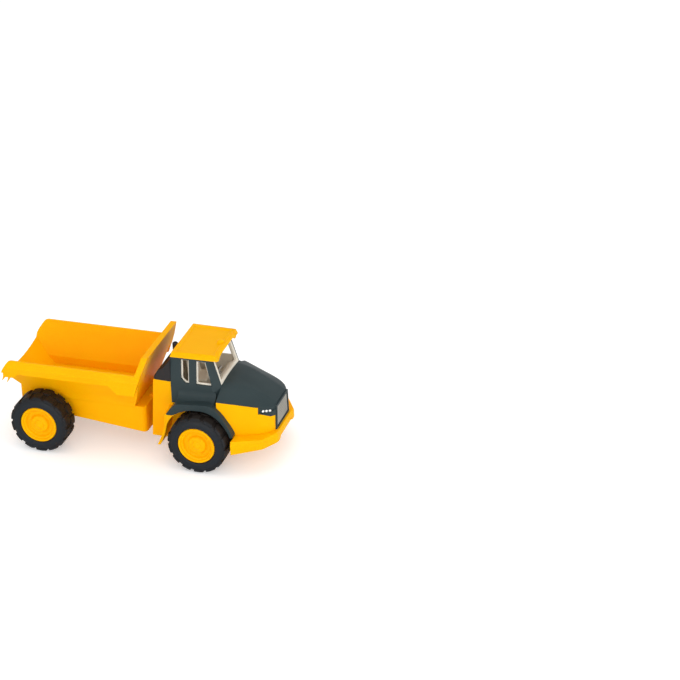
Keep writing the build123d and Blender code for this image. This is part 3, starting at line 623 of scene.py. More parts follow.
    @classmethod
    def mount(cls, piece: Piece, node: str, replaces: Iterable[str] = (), slot: str | None = None) -> None:
        """Ride a piece on the body of a CAD node and give it that node's finish.

        Args:
            piece: finished object.
            node: CAD node whose body it takes.
            replaces: CAD nodes that it stands for.
            slot: finish, where it isn't the node's own.
        """
        chosen = slot or SLOT_OF[node]
        piece.data.materials.clear()
        piece.data.materials.append(Finishes.get(chosen))
        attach(piece, BODY_OF[node])
        for stood_for in replaces:
            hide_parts(stood_for)
        LOG.info("%s: %d faces on %s", piece.name, len(piece.data.polygons), BODY_OF[node])


@dataclass(frozen=True)
class Region:
    """A box in the same place on both sides of the truck."""

    low: Point  # least place, with the distance from the middle for both sides
    high: Point  # greatest place, in the same way

    def covers(self, vert: bmesh.types.BMVert) -> bool:
        """Whether a corner lies in the box."""
        place = ((vert.co.x - FRONT_X) / MM, abs(vert.co.y) / MM, vert.co.z / MM)
        return all(low <= value <= high for value, low, high in zip(place, self.low, self.high))


@dataclass(frozen=True)
class Rounding(Region):
    """A group of edges in a region with a wider rounding of their own."""

    width: float  # width of the rounding
    way: Vector  # direction of the edges
    segments: int = 5  # faces across the rounding
    likeness: float = 0.9  # least cosine between an edge and that direction

    def holds(self, edge: bmesh.types.BMEdge) -> bool:
        """Whether an edge belongs to the group."""
        run = (edge.verts[1].co - edge.verts[0].co).normalized()
        return abs(run.dot(self.way)) >= self.likeness and all(map(self.covers, edge.verts))


@dataclass(frozen=True)
class Nudge(Region):
    """A region of a moulding that is moved."""

    shift: Point  # way that the region moves: ahead, outwards and up

    def holds(self, vert: bmesh.types.BMVert, side: Side) -> bool:
        """Whether a corner lies in the region on one side of the truck."""
        return (vert.co.y > 0.0) == (side is Side.LEFT) and self.covers(vert)


class Trim(ABC):
    """A made piece that takes the body and the finish of a CAD node."""

    node: str  # CAD node
    stands_for: bool = False  # whether the piece takes the node's place
    slot: str | None = None  # finish, where it isn't the node's own

    @abstractmethod
    def build(self) -> Piece:
        """Make the piece, without its finish."""

    def dress(self, piece: Piece) -> None:
        """Give the piece its finish and its body."""
        Bench.mount(piece, self.node, [self.node] if self.stands_for else [], self.slot)


@dataclass
class Moulding(Trim):
    """A CAD node's shape with the rounded edges of a moulded piece."""

    node: str
    edge: float  # width of the rounding
    angle: float = 28.0  # least angle of a rounded edge in degrees
    wide: tuple[Rounding, ...] = ()  # groups of edges that are rounded more
    nudges: tuple[Nudge, ...] = ()  # regions that are moved first
    slot: str | None = None
    stands_for = True

    def build(self) -> Piece:
        """Copy the node, merge its triangles to whole faces and round the edges.

        Returns:
            The rounded piece.
        """
        piece = bpy.data.objects.new("moulded_" + self.node, frame["nodes"][self.node].data.copy())
        bpy.context.scene.collection.objects.link(piece)
        Bench.edit(piece)
        bpy.ops.mesh.customdata_custom_splitnormals_clear()
        bpy.ops.mesh.remove_doubles(threshold=MERGE_GAP)
        bpy.ops.mesh.dissolve_limited(angle_limit=FLAT_ANGLE)
        for nudge, side in itertools.product(self.nudges, Side):
            Bench.pick(piece, Pick.VERT, lambda vert: nudge.holds(vert, side))
            if piece.data.total_vert_sel:
                ahead, outward, up = nudge.shift
                bpy.ops.transform.translate(value=Vector((ahead, outward * side.value, up)) * MM)
        for group in self.wide:
            Bench.pick(piece, Pick.EDGE, group.holds)
            width = group.width * MM
            bpy.ops.mesh.bevel(offset=width, segments=group.segments, affect="EDGES", clamp_overlap=True)
        Bench.clear()
        Bench.round_edges(piece, Edge(self.edge, self.angle))
        return piece


@dataclass
class Wheel:
    """A lugged tyre on a turned rim."""

    name: str
    lugs: int = 14  # lugs in one row
    steps: int = 10  # segments in the pitch of one lug
    lug_steps: int = 7  # segments that a lug covers
    lug_height: float = 1.5  # height of a lug over the carcass
    groove_half: float = 0.6  # half the groove between the rows
    tread_half: float = 9.5  # half width of the flat tread
    shoulder_half: float = 11.6  # half width to the lugs' outer ends
    seat_gap: float = 0.1  # clearance between the tyre and the rim
    wall: Profile = (  # side wall, out from the tyre's bore and in from its side
        (0.0, 1.6), (0.4, 0.8), (1.2, 0.25), (2.4, 0.0), (4.6, 0.0), (6.0, 0.2), (7.2, 0.75), (8.0, 1.25),
    )
    lug_edge: Edge = Edge(0.5, SMOOTH_ANGLE)
    dish: Profile = (  # face of the rim from its middle to the lip, radius and depth behind the lip
        (0.0, 0.2), (2.6, 0.35), (4.4, 1.0), (4.9, 1.9), (8.6, 2.2), (9.4, 2.9), (10.2, 5.1), (13.4, 5.3),
        (14.5, 4.8), (15.4, 2.6), (16.9, 2.3), (17.4, 0.5), (18.2, 0.0), (19.2, 0.15),
    )
    rim_depth: float = 22.0  # depth of the rim's barrel behind the lip
    rim_wall: float = 2.5  # thickness of the barrel
    web_back: float = 6.4  # depth of the web's back behind the lip
    hub: float = 7.0  # radius of the hub
    hub_depth: float = 28.4  # depth of the hub behind the lip
    bore: float = 2.1  # radius of the axle's hole
    bore_end: float = 6.1  # depth of the hole's end behind the lip
    rim_steps: int = 96  # segments round the rim
    rim_edge: Edge = Edge(0.5, 24.0)

    def __post_init__(self) -> None:
        """Take the wheel's place and sizes from its CAD tyre and rim."""
        low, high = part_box("tyre_" + self.name)
        rim_low, rim_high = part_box("rim_" + self.name)
        self.side = Side.LEFT if low.y > 0 else Side.RIGHT
        self.centre = (low + high) / 2
        self.radius = (high.z - low.z) / 2 / MM
        self.half = (high.y - low.y) / 2 / MM
        self.rim_radius = (rim_high.z - rim_low.z) / 2 / MM
        rim_face = rim_high.y if self.side is Side.LEFT else rim_low.y
        self.rim_outer = (rim_face - self.centre.y) / MM * self.side.value

    def angle_of(self, point: Vector) -> float:
        """Angle of a point about the axle from straight down, as a share of the lug pitch."""
        arm = point - self.centre
        return math.atan2(arm.x, -arm.z) / math.tau * self.lugs % 1.0

    def in_lug(self, face: bmesh.types.BMFace) -> bool:
        """Find the faces that carry a lug, in the outer or the inner row.

        Args:
            face: face of the carcass.

        Returns:
            Whether it carries a lug.
        """
        middle = face.calc_center_median()
        along = (middle.y - self.centre.y) / MM * self.side.value
        reach = math.hypot(middle.x - self.centre.x, middle.z - self.centre.z) / MM
        on_tread = self.groove_half < abs(along) < self.shoulder_half
        if not on_tread or reach < self.rim_radius + self.lug_height * 2:
            return False
        share = (self.angle_of(middle) + (0.0 if along > 0 else 0.5)) % 1.0
        half_lug = self.lug_steps / self.steps / 2
        return share < half_lug or share > 1.0 - half_lug

    def build_tyre(self) -> Piece:
        """Turn the carcass, raise its lugs and round them.

        Returns:
            The tyre.
        """
        base = self.radius - self.lug_height
        bore = self.rim_radius + self.seat_gap
        outer_half = [(bore + rise, self.half - depth) for rise, depth in self.wall]
        outer_half += [
            (base - 1.4, self.shoulder_half), (base - 0.3, self.tread_half + 0.6), (base, self.tread_half),
            (base, self.groove_half),
        ]
        inner_half = [(radius, -along) for radius, along in reversed(outer_half)]
        profile = outer_half + inner_half + [outer_half[0]]
        tyre = Bench.turn("tyre_piece_" + self.name, self.centre, profile, self.lugs * self.steps)
        Bench.edit(tyre)
        Bench.pick(tyre, Pick.FACE, self.in_lug)
        bpy.ops.mesh.extrude_region_shrink_fatten(
            TRANSFORM_OT_shrink_fatten={"value": self.lug_height * MM, "use_even_offset": True}
        )
        Bench.clear()
        Bench.round_edges(tyre, self.lug_edge)
        return tyre

    def build_rim(self) -> Piece:
        """Turn the rim: rounded lip, dish, hub and cap, with an open back.

        Returns:
            The rim.
        """
        outer, inner = self.rim_radius, self.rim_radius - self.rim_wall
        back = (
            (outer - 0.1, 0.9), (outer, 2.0), (outer, self.rim_depth), (inner, self.rim_depth),
            (inner, self.web_back), (self.hub, self.web_back), (self.hub, self.hub_depth),
            (self.bore, self.hub_depth), (self.bore, self.bore_end), (0.0, self.bore_end),
        )
        sign = self.side.value
        turned = [(radius, (self.rim_outer - depth) * sign) for radius, depth in (*self.dish, *back)]
        return Bench.turn("rim_piece_" + self.name, self.centre, turned, self.rim_steps, edge=self.rim_edge)

    def dress(self, tyre: Piece, rim: Piece) -> None:
        """Put the tyre and the rim in place of their CAD nodes."""
        Bench.mount(tyre, "tyre_" + self.name, ["tyre_" + self.name])
        Bench.mount(rim, "rim_" + self.name, ["rim_" + self.name])


@dataclass
class Fender(Trim):
    """A curved wheel arch with a deep skirt, a rounded front end, a pointed tail and a cove along the cab."""

    side: Side
    inner: float = 37.0  # distance of its inner face from the middle
    width: float = 15.0  # reach from the inner face outwards
    ridge: Profile = (  # outer line from the front end over the top to the tail
        (35.4, 40.5), (36.3, 41.6), (35.7, 44.2), (33.9, 48.4), (31.4, 53.4), (28.5, 58.6), (25.3, 63.6),
        (22.0, 68.0), (18.6, 71.5), (15.0, 73.8), (11.0, 74.9), (6.0, 75.0), (-8.0, 73.9), (-20.0, 73.0),
        (-23.4, 72.4), (-25.8, 71.0), (-30.0, 66.1), (-34.9, 60.0), (-35.0, 59.3),
    )
    skirt: Profile = (  # lower line from the tail back to the front end
        (-34.2, 58.8), (-29.0, 59.0), (-26.6, 59.8), (-21.0, 63.0), (-14.0, 65.9), (-6.0, 67.5), (2.0, 67.8),
        (8.3, 67.0), (14.0, 64.9), (19.0, 61.7), (23.6, 57.4), (27.8, 52.0), (31.0, 46.6), (32.8, 42.2),
        (33.6, 40.8),
    )
    cove: Profile = (  # hollow of the cove, out from the cab and up from the ridge
        (0.0, 9.5), (0.4, 6.8), (1.3, 4.4), (2.8, 2.6), (5.0, 1.3), (7.8, 0.5), (11.0, 0.1), (11.0, -1.5),
        (0.0, -1.5),
    )
    cove_rear: tuple[float, float] = (-25.6, 72.4)  # rear end of the cove, seen from the side
    cove_front: tuple[float, float] = (15.6, 73.9)  # front end of the cove
    edge: Edge = Edge(1.1, SMOOTH_ANGLE, 4)
    cove_edge: Edge = Edge(0.4, SMOOTH_ANGLE, 2)
    stands_for = True

    def __post_init__(self) -> None:
        """Take the name of the side's CAD node."""
        self.node = "fender_" + self.side.label

    def build(self) -> Piece:
        """Extrude the arch and the cove, and round them.

        Returns:
            The fender.
        """
        sign = self.side.value
        outline = upright((*self.ridge, *self.skirt), sign * self.inner)
        arch = Bench.plate("arch_" + self.node, outline, ACROSS * (sign * self.width * MM), self.edge)
        rear_x, rear_z = self.cove_rear
        section = [at(rear_x, sign * (self.inner + out), rear_z + up) for out, up in self.cove]
        run = at(self.cove_front[0], 0.0, self.cove_front[1]) - at(rear_x, 0.0, rear_z)
        cove = Bench.plate("cove_" + self.node, section, run, self.cove_edge)
        return Bench.join([arch, cove])


@dataclass
class Roof(Trim):
    """Cab roof with a sunk panel, a beacon, a rear lip, and a visor at each end of its arched front edge."""

    rear: float = -33.9  # rear end
    front: float = 16.9  # front end
    half_rear: float = 34.4  # half width at the rear
    half_front: float = 33.4  # half width at the front
    low: float = 117.5  # height of the rim's lower edge
    top: float = 123.0  # height of the top
    lean: float = 1.7  # how far the top is drawn in all round
    rim: float = 3.6  # width of the rim round the sunk panel
    sunk: float = 0.9  # depth of the panel
    panel_corner: float = 6.0  # rounding of the panel's corners
    edge: Edge = Edge(0.8, 24.0, 4)
    slack: float = 0.3  # how far past the rounding the corners of a rounded edge are looked for
    # distances from the middle of the cuts that shape the arch
    arch_cuts: tuple[float, ...] = (-28.0, -18.0, 18.0, 28.0)
    arch_half: float = 18.1  # half width of the arch's raised middle
    arch_rear: float = 10.8  # rear end of the arch
    arch_rise: float = 2.5  # height of the arch over the rim's lower edge
    visor: Profile = (  # outline of one corner of the visor
        (32.2, 118.9), (31.4, 117.2), (27.6, 114.6), (26.0, 114.5), (24.4, 115.4), (21.6, 117.6),
        (18.6, 119.3), (16.5, 120.3), (24.0, 119.9),
    )
    visor_wall: float = 1.3  # thickness of the visor
    visor_setback: float = 0.6  # depth of the visor's face behind the front end
    visor_edge: Edge = Edge(0.4, 28.0)
    # corners of half the rear lip, in from the roof's side and up from the rim's lower edge
    lip: Profile = ((0.9, 0.5), (0.9, -1.8), (2.0, -2.6))
    lip_setback: float = 0.1  # distance of the lip from the rear end
    lip_wall: float = 0.3  # thickness of the lip
    beacon_place: float = 9.5  # middle of the beacon
    beacon_profile: Profile = (  # radius and height over the top of the beacon's outline
        (0.0, -1.4), (4.5, -1.4), (4.5, -0.7), (4.3, -0.5), (3.85, -0.45), (3.8, 0.5), (3.55, 1.3), (3.0, 2.0),
        (2.15, 2.5), (1.1, 2.72), (0.0, 2.78),
    )
    beacon_steps: int = 48  # segments round the beacon
    beacon_edge: Edge = Edge(0.15, 40.0, 2)
    node = "roof"
    stands_for = True

    def on_panel(self, face: bmesh.types.BMFace) -> bool:
        """Find the flat of the panel.

        Args:
            face: face of the shell.

        Returns:
            Whether it is the flat.
        """
        reach = max(abs(vert.co.y) for vert in face.verts) / MM
        level = min(vert.co.z for vert in face.verts) / MM
        panel_half = self.half_rear - self.lean - self.rim
        return face.normal.z > UP_FACING and level > self.top - 0.01 and reach < panel_half + 0.1

    def under_arch(self, vert: bmesh.types.BMVert) -> bool:
        """Find the front lower edge under the arch.

        Args:
            vert: corner of the shell.

        Returns:
            Whether it is on that edge.
        """
        depth = self.edge.width + self.slack
        front = vert.co.x > at(self.front - depth, 0.0, 0.0).x
        return front and abs(vert.co.y) < self.arch_half * MM and vert.co.z < (self.low + depth) * MM

    def build_shell(self) -> Piece:
        """Extrude the roof, sink its panel, round it and raise the arch.

        Returns:
            The roof without its trim.
        """
        corners = [
            (self.rear, self.half_rear), (self.front, self.half_front),
            (self.front, -self.half_front), (self.rear, -self.half_rear),
        ]
        outline = [at(x, y, self.low) for x, y in corners]
        shell = Bench.plate("roof_shell", outline, UPWARD * ((self.top - self.low) * MM))
        Bench.edit(shell)
        Bench.pick(shell, Pick.FACE, lambda face: face.normal.z > UP_FACING)
        length, width = self.front - self.rear, self.half_rear + self.half_front
        middle = at((self.front + self.rear) / 2, 0.0, self.top)
        shrink = (1.0 - 2 * self.lean / length, 1.0 - 2 * self.lean / width, 1.0)
        bpy.ops.transform.resize(value=shrink, center_override=middle)
        bpy.ops.mesh.inset(thickness=self.rim * MM, depth=0.0)
        bpy.ops.mesh.bevel(offset=self.panel_corner * MM, segments=6, affect="VERTICES")
        Bench.pick(shell, Pick.FACE, self.on_panel)
        bpy.ops.mesh.inset(thickness=self.sunk * MM, depth=-self.sunk * MM)
        Bench.close(shell)
        Bench.round_edges(shell, self.edge)
        Bench.edit(shell)
        cuts = [(at(0.0, place, self.low), ACROSS) for place in self.arch_cuts]
        for place, normal in [*cuts, (at(self.arch_rear, 0.0, self.low), ALONG)]:
            bpy.ops.mesh.select_all(action="SELECT")
            bpy.ops.mesh.bisect(plane_co=place, plane_no=normal)
        Bench.pick(shell, Pick.VERT, self.under_arch)
        bpy.ops.transform.translate(value=UPWARD * (self.arch_rise * MM))
        Bench.close(shell)
        Bench.smooth(shell, SMOOTH_ANGLE)
        return shell

    def build(self) -> Piece:
        """Make the shell and add the visor, the lip and the beacon.

        Returns:
            The roof.
        """
        pieces = [self.build_shell()]
        visor_rear = self.front - self.visor_setback - self.visor_wall
        for side in Side:
            corner = [at(visor_rear, y * side.value, z) for y, z in self.visor]
            through = ALONG * (self.visor_wall * MM)
            pieces.append(Bench.plate("roof_visor_" + side.label, corner, through, self.visor_edge))
        half = [(self.half_rear - inset, self.low + up) for inset, up in self.lip]
        lip = half + [(-y, z) for y, z in reversed(half)]
        lip_places = [at(self.rear + self.lip_setback, y, z) for y, z in lip]
        pieces.append(Bench.plate("roof_lip", lip_places, ALONG * (self.lip_wall * MM)))
        foot = at(self.beacon_place, 0.0, self.top)
        steps, edge = self.beacon_steps, self.beacon_edge
        pieces.append(Bench.turn("roof_beacon", foot, self.beacon_profile, steps, UPWARD, ALONG, edge))
        return Bench.join(pieces)


@dataclass
class ScreenFrame(Trim):
    """Pale frame in the cab's windscreen opening."""

    low: float = 88.1  # height of the opening's lower edge
    top: float = 117.1  # height of its upper edge
    half_low: float = 27.4  # half width at the lower edge
    half_top: float = 26.4  # half width at the upper edge
    front_low: float = 18.47  # place of the cab's front face at the lower edge
    rake: float = 9.0 / 29.5  # how far the front face goes back with each millimetre of height
    width: float = 3.4  # width of the frame
    proud: float = 0.15  # how far the frame stands off the cab's front face
    thickness: float = 3.0  # thickness of the frame
    edge: Edge = Edge(0.4)
    node = "cab_liner"

    def build(self) -> Piece:
        """Fill the opening, cut its middle out and give the rest its thickness.

        Returns:
            The frame.
        """
        low_front = self.front_low + self.proud
        top_front = low_front - (self.top - self.low) * self.rake
        corners = [
            at(low_front, self.half_low, self.low), at(top_front, self.half_top, self.top),
            at(top_front, -self.half_top, self.top), at(low_front, -self.half_low, self.low),
        ]
        piece = Bench.trace("screen_frame", [*corners, corners[0]])
        bpy.ops.mesh.edge_face_add()
        bpy.ops.mesh.inset(thickness=self.width * MM, depth=0.0)
        bpy.ops.mesh.delete(type="FACE")
        bpy.ops.mesh.select_all(action="SELECT")
        bpy.ops.mesh.extrude_region_move(TRANSFORM_OT_translate={"value": ALONG * (-self.thickness * MM)})
        Bench.close(piece)
        Bench.round_edges(piece, self.edge)
        return piece


@dataclass
class Slab(Trim):
    """A piece of one outline, extruded across the truck."""

    name: str
    node: str
    profile: Profile  # outline, seen from the side
    start: float  # place of its first face, left of the middle
    end: float  # place of its other face
    edge: Edge
    stands_for: bool = False
    slot: str | None = None

    def build(self) -> Piece:
        """Extrude the outline."""
        across = ACROSS * ((self.end - self.start) * MM)
        return Bench.plate(self.name, upright(self.profile, self.start), across, self.edge)


@dataclass
class Turning(Trim):
    """Pieces turned from one outline about upright axes, joined to one."""

    feet: dict[str, Point]  # name and foot of each
    node: str
    profile: Profile  # radius and height over the foot
    steps: int  # segments round the axis
    edge: Edge
    stands_for: bool = False
    slot: str | None = None

    def build(self) -> Piece:
        """Turn the outline about every axis.

        Returns:
            The turned pieces as one.
        """
        made = []
        for name, foot in self.feet.items():
            made.append(Bench.turn(name, at(*foot), self.profile, self.steps, UPWARD, ALONG, self.edge))
        return Bench.join(made)


@dataclass
class LampSill(Trim):
    """Dark wedge under the headlamps of one side, which lies on the nose and turns its corner."""

    side: Side
    # the nose's outline at the wedge's upper edge, seen from above
    turns: Profile = ((61.6, 32.17), (69.8, 25.89), (73.3, 19.47))
    edges: Profile = ((62.4, 62.2), (62.5, 58.0), (63.4, 57.0))  # upper and lower height at the faces' ends
    level: float = 62.0  # height where the outline is taken
    flare: float = 0.122  # how far the nose goes out with each millimetre down
    proud: float = 0.35  # how far the wedge stands off the nose
    wall: float = 2.4  # thickness of the wedge
    edge: Edge = Edge(0.2, SMOOTH_ANGLE, 2)
    node = "hood"

    def build(self) -> Piece:
        """Extrude one face after the other.

        Returns:
            The wedge.
        """
        sign = self.side.value
        faces = []
        for number in range(len(self.turns) - 1):
            start, end = self.turns[number : number + 2]
            outward = Vector((start[1] - end[1], sign * (end[0] - start[0]), 0.0)).normalized()
            heights = [self.edges[number][0], *self.edges[number + 1], self.edges[number][1]]
            outline = []
            for (x, y), height in zip([start, end, end, start], heights):
                stand_off = self.proud + (self.level - height) * self.flare
                outline.append(at(x, sign * y, height) + outward * (stand_off * MM))
            name = f"lamp_sill_{self.side.label}_{number}"
            faces.append(Bench.plate(name, outline, outward * (-self.wall * MM), self.edge))
        return Bench.join(faces)


@dataclass
class TailHooks(Trim):
    """Thin hooks under the rear ears of the bed, two on each side."""

    # root and tip of each hook, seen from the side
    hooks: tuple[Profile, ...] = (((-213.6, 80.2), (-216.8, 74.8)), ((-207.8, 79.9), (-211.4, 73.4)))
    outer: float = 52.3  # distance of a hook's outer face from the middle
    wall: float = 1.6  # thickness of a hook
    root: float = 2.6  # width of its root
    tip: float = 0.9  # width of its tip
    bow: float = 0.7  # how far its middle bends forward
    edge: Edge = Edge(0.25, 30.0, 2)
    node = "dump_bed"

    def build(self) -> Piece:
        """Extrude every hook.

        Returns:
            The hooks as one piece.
        """
        made = []
        for side, (number, hook) in itertools.product(Side, enumerate(self.hooks)):
            (root_x, root_z), (tip_x, tip_z) = hook
            bend_x, bend_z = (root_x + tip_x) / 2 + self.bow, (root_z + tip_z) / 2
            outline = [
                (root_x - self.root / 2, root_z), (bend_x - self.root / 2.4, bend_z), (tip_x, tip_z),
                (tip_x + self.tip, tip_z + 0.2), (bend_x + self.root / 3.4, bend_z),
                (root_x + self.root / 2, root_z),
            ]
            inward = ACROSS * (-side.value * self.wall * MM)
            name = f"tail_hook_{side.label}_{number}"
            made.append(Bench.plate(name, upright(outline, side.value * self.outer), inward, self.edge))
        return Bench.join(made)


@dataclass
class Assembly:
    """A group of pieces on one body: moulded shapes with their edges, and steel left as turned."""

    mouldings: tuple[Moulding, ...]  # moulded pieces
    bare: tuple[str, ...] = ()  # CAD nodes that keep their own shape

    def build(self) -> list[Piece]:
        """Make the pieces, in the order of the mouldings."""
        return [moulding.build() for moulding in self.mouldings]

    def dress(self, pieces: list[Piece]) -> None:
        """Finish the moulded pieces and the bare nodes.

        Args:
            pieces: moulded pieces, in the order of the mouldings.
        """
        for moulding, piece in zip(self.mouldings, pieces):
            moulding.dress(piece)
        for node in self.bare:
            cad_node = frame["nodes"][node]
            cad_node.data.materials.clear()
            cad_node.data.materials.append(Finishes.get(SLOT_OF[node]))
            LOG.info("%s: own shape", node)


@dataclass
class Studio:
    """Pale floor, soft lights and the camera at the photograph's angle."""

    camera_place: Point = (0.79129, -1.90717, 1.18056)  # camera's place in metres
    right: Point = (0.95888, 0.28318, -0.01888)  # camera's right-hand direction
    up: Point = (-0.11478, 0.44781, 0.8867)  # camera's upward direction
    back: Point = (0.25955, -0.84807, 0.4619)  # direction from the view to the camera
    lens: float = 117.78  # focal length
    sensor: float = 36.0  # width of the sensor
    view_end: float = 50.0  # how far the camera sees in metres
    floor_size: float = 24.0  # side of the floor in metres
    floor_tone: float = 0.9  # brightness of the floor's colour
    floor_cloud: float = 0.9 * 0.985  # brightness of its faint clouds
    floor_lift: float = 0.3  # brightness that the camera alone sees added to the floor
    ambient: float = 0.74  # strength of the even light from all round
    lamps: dict[str, tuple[Point, float, float]] = field(  # place, size and power of each lamp
        default_factory=lambda: {
            "key": ((0.55, -1.5, 1.1), 1.1, 6.0),
            "top": ((-0.2, 0.2, 1.9), 1.8, 5.5),
            "low_fill": ((-0.1, -1.3, 0.28), 0.9, 4.5),
            "front_fill": ((1.3, -0.45, 0.35), 0.9, 5.0),
        }
    )

    def build_camera(self) -> None:
        """Place the camera."""
        camera = bpy.data.objects.new("camera", bpy.data.cameras.new("camera"))
        camera.data.lens = self.lens
        camera.data.sensor_width = self.sensor
        camera.data.clip_end = self.view_end
        axes = Matrix((self.right, self.up, self.back)).transposed()
        camera.matrix_world = Matrix.Translation(self.camera_place) @ axes.to_4x4()
        bpy.context.scene.collection.objects.link(camera)
        bpy.context.scene.camera = camera

    def build_floor(self) -> None:
        """Lay the floor, which the camera sees a little brighter than it is lit."""
        Bench.clear()
        bpy.ops.mesh.primitive_plane_add(size=self.floor_size)
        floor = bpy.context.object
        floor.name = "floor"
        tree = ShaderTree.for_material("pale_floor")
        cloud = tree.ramp(tree.noise(0.8, 2.0), 0.2, 0.8)
        tree.shade(
            Base_Color=tree.mix(cloud, grey(self.floor_tone), grey(self.floor_cloud)),
            Roughness=0.9,
            Specular_IOR_Level=0.1,
            Emission_Color=tree.mix(tree.seen(), grey(0.0), grey(self.floor_lift)),
            Emission_Strength=1.0,
        )
        floor.data.materials.append(tree.owner)

    def build_lights(self) -> None:
        """Hang the soft lamps and set the even light from all round."""
        for name, (place, size, power) in self.lamps.items():
            lamp = bpy.data.objects.new(name, bpy.data.lights.new(name, "AREA"))
            lamp.data.shape = "SQUARE"
            lamp.data.size = size
            lamp.data.energy = power
            lamp.location = place
            lamp.rotation_euler = (-Vector(place)).to_track_quat("-Z", "Y").to_euler()
            bpy.context.scene.collection.objects.link(lamp)
        tree = ShaderTree.for_world("studio")
        tree.shade(Color=grey(1.0), Strength=tree.seen() * (1.0 - self.ambient) + self.ambient)
        bpy.context.scene.world = tree.owner
        bpy.context.scene.view_settings.view_transform = "Standard"


FRONT_BODY = Moulding(
    "front_body",
    0.7,
    wide=(Rounding((36.5, 10.0, 56.5), (74.0, 60.0, 57.5), 5.0, ALONG),),
    nudges=(Nudge((-38.5, 36.5, 60.5), (-34.0, 51.0, 61.5), (3.5, 0.0, -2.2)),),
)
BUMPER = Moulding(
    "bumper",
    0.9,
    wide=(
        Rounding((66.0, 44.0, 28.0), (68.0, 48.0, 37.0), 3.0, UPWARD),
        Rounding((76.0, 26.0, 28.0), (79.0, 29.0, 37.0), 3.0, UPWARD),
    ),
)
HOOD = Moulding("hood", 0.7, nudges=(Nudge((75.5, 0.0, 38.0), (76.1, 25.0, 70.0), (-1.2, 0.0, 0.0)),))
HEADLAMPS = Moulding(
    "headlamps",
    0.3,
    nudges=tuple(
        Nudge((rear, 20.0, 60.0), (front, 35.0, 70.0), (1.1, -0.85, up))
        for rear, front, up in ((66.5, 69.3, -1.0), (63.5, 66.3, -0.6), (60.5, 63.4, -0.2))
    ),
)
DUMP_BED = Moulding(
    "dump_bed", 1.1, 20.0, wide=(Rounding((-209.5, 44.0, 97.5), (-208.0, 54.0, 98.5), 4.0, ACROSS),)
)
FRONT_HALF = Assembly(
    (
        FRONT_BODY,
        BUMPER,
        HOOD,
        Moulding("grille", 0.25),
        HEADLAMPS,
        Moulding("cab_shell", 0.6),
        Moulding("cab_liner", 0.5),
        Moulding("seat", 1.6),
        Moulding("dashboard", 1.4),
        Moulding("steering_wheel", 0.35, slot="grey_plastic"),
    ),
    ("front_axle", "pivot_pin"),
)
REAR_HALF = Assembly((Moulding("rear_frame", 0.8),), ("rear_axle", "hinge_pin"))
BED = Assembly((DUMP_BED,))
# The deck cover takes the near-black finish instead of its node's slate: painted shade for the shadow that falls
# on the deck behind the cab.
DECK_COVER = Slab(
    "deck_cover",
    "rear_deck",
    ((-33.4, 89.0), (-52.4, 89.9), (-52.3, 93.4), (-46.9, 102.3), (-43.2, 103.8), (-40.7, 107.1), (-33.4, 115.4)),
    -36.7,
    36.7,
    Edge(1.3, 20.0, 4),
    True,
    "black_plastic",
)
STACK = Turning(
    {"stack_pipe": (-37.3, -8.5, 90.0)},
    "exhaust_stack",
    (
        (0.0, 0.0), (2.7, 0.0), (2.7, 22.0), (3.0, 23.0), (3.0, 29.4), (2.8, 30.3), (2.2, 30.9), (1.6, 31.0),
        (1.5, 30.4), (1.4, 26.0), (0.0, 26.0),
    ),
    40,
    Edge(0.2, SMOOTH_ANGLE, 2),
    True,
)
FLAP_INNER, FLAP_OUTER = 32.5, 50.3
FLAP_TOP: Profile = (
    (-35.5, 45.4), (-34.2, 48.6), (-32.6, 51.6), (-30.2, 55.0), (-27.0, 58.3), (-23.2, 61.1), (-19.0, 63.2),
    (-14.3, 65.0), (-14.2, 66.6), (-21.0, 64.4), (-26.6, 60.9), (-33.6, 60.0), (-37.7, 57.4), (-38.4, 45.4),
)
FLAP_EDGE = Edge(0.5, SMOOTH_ANGLE)
SCREW_WELL: Profile = (
    (2.3, 0.6), (4.2, 0.6), (4.2, -0.5), (3.9, -0.8), (3.2, -0.8), (2.9, -0.5), (2.9, 0.2), (2.3, 0.6),
)
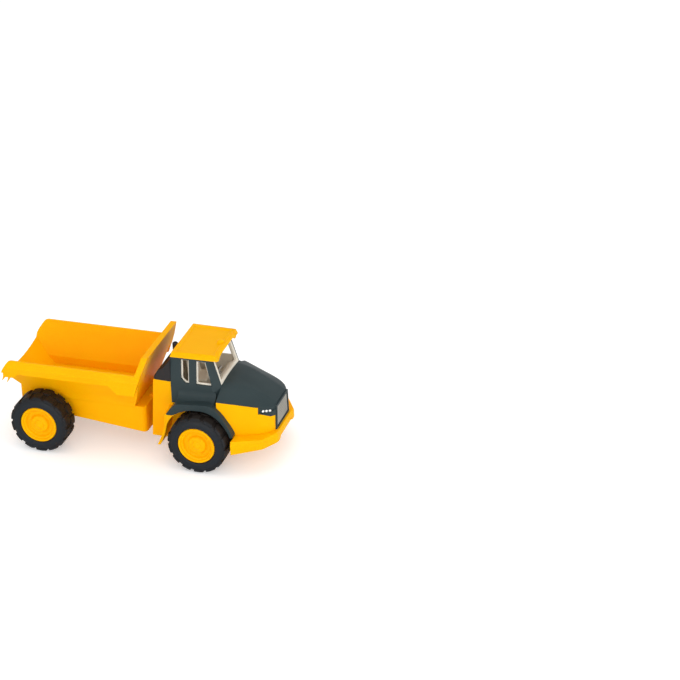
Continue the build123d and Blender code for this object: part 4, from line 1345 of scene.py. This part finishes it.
SCREW_HEAD: Profile = (
    (0.0, 0.8), (2.4, 0.8), (2.4, 0.2), (2.1, -0.2), (1.5, -0.45), (1.1, -0.5), (0.9, 0.1), (0.0, 0.1),
)
SCREW_KINDS = (("well", SCREW_WELL, 32, None), ("head", SCREW_HEAD, 24, "steel"))
SCREW_EDGE = Edge(0.12, 30.0, 2)
SCREW_FEET: dict[str, tuple[Point, ...]] = {
    "front_body": ((-20.0, 22.0, 20.9), (-20.0, -22.0, 20.9)),
    "rear_frame": ((-82.0, 18.0, 22.6), (-82.0, -18.0, 22.6)),
}
WHEELS = ("front_left", "front_right", "rear_left", "rear_right")


def side_trim(side: Side) -> tuple[Trim, ...]:
    """Describe the fender, the bent top of the mudflap and the lamp sill of one side.

    Args:
        side: side of the truck.

    Returns:
        The three, not yet built.
    """
    inner, outer = side.value * FLAP_INNER, side.value * FLAP_OUTER
    flap = Slab("flap_root_" + side.label, "front_body", FLAP_TOP, inner, outer, FLAP_EDGE)
    return Fender(side), flap, LampSill(side)


def screws() -> list[Turning]:
    """Describe the wells and the domed heads of the screws under both halves.

    Returns:
        One entry for each kind under each half, not yet built.
    """
    made = []
    for (node, feet), (kind, profile, steps, slot) in itertools.product(SCREW_FEET.items(), SCREW_KINDS):
        named = {f"screw_{kind}_{node}_{number}": foot for number, foot in enumerate(feet)}
        made.append(Turning(named, node, profile, steps, SCREW_EDGE, slot=slot))
    return made


def main() -> None:
    """Build and dress the truck, then the studio."""
    logging.basicConfig(level=logging.INFO, format="%(name)s %(message)s")
    for group in (FRONT_HALF, REAR_HALF, BED):
        group.dress(group.build())
    paired = [trim for side in Side for trim in side_trim(side)]
    for trim in (*paired, Roof(), ScreenFrame(), TailHooks(), DECK_COVER, STACK, *screws()):
        trim.dress(trim.build())
    for name in WHEELS:
        wheel = Wheel(name)
        wheel.dress(wheel.build_tyre(), wheel.build_rim())
    studio = Studio()
    studio.build_floor()
    studio.build_lights()
    studio.build_camera()


if __name__ == "__main__":
    main()
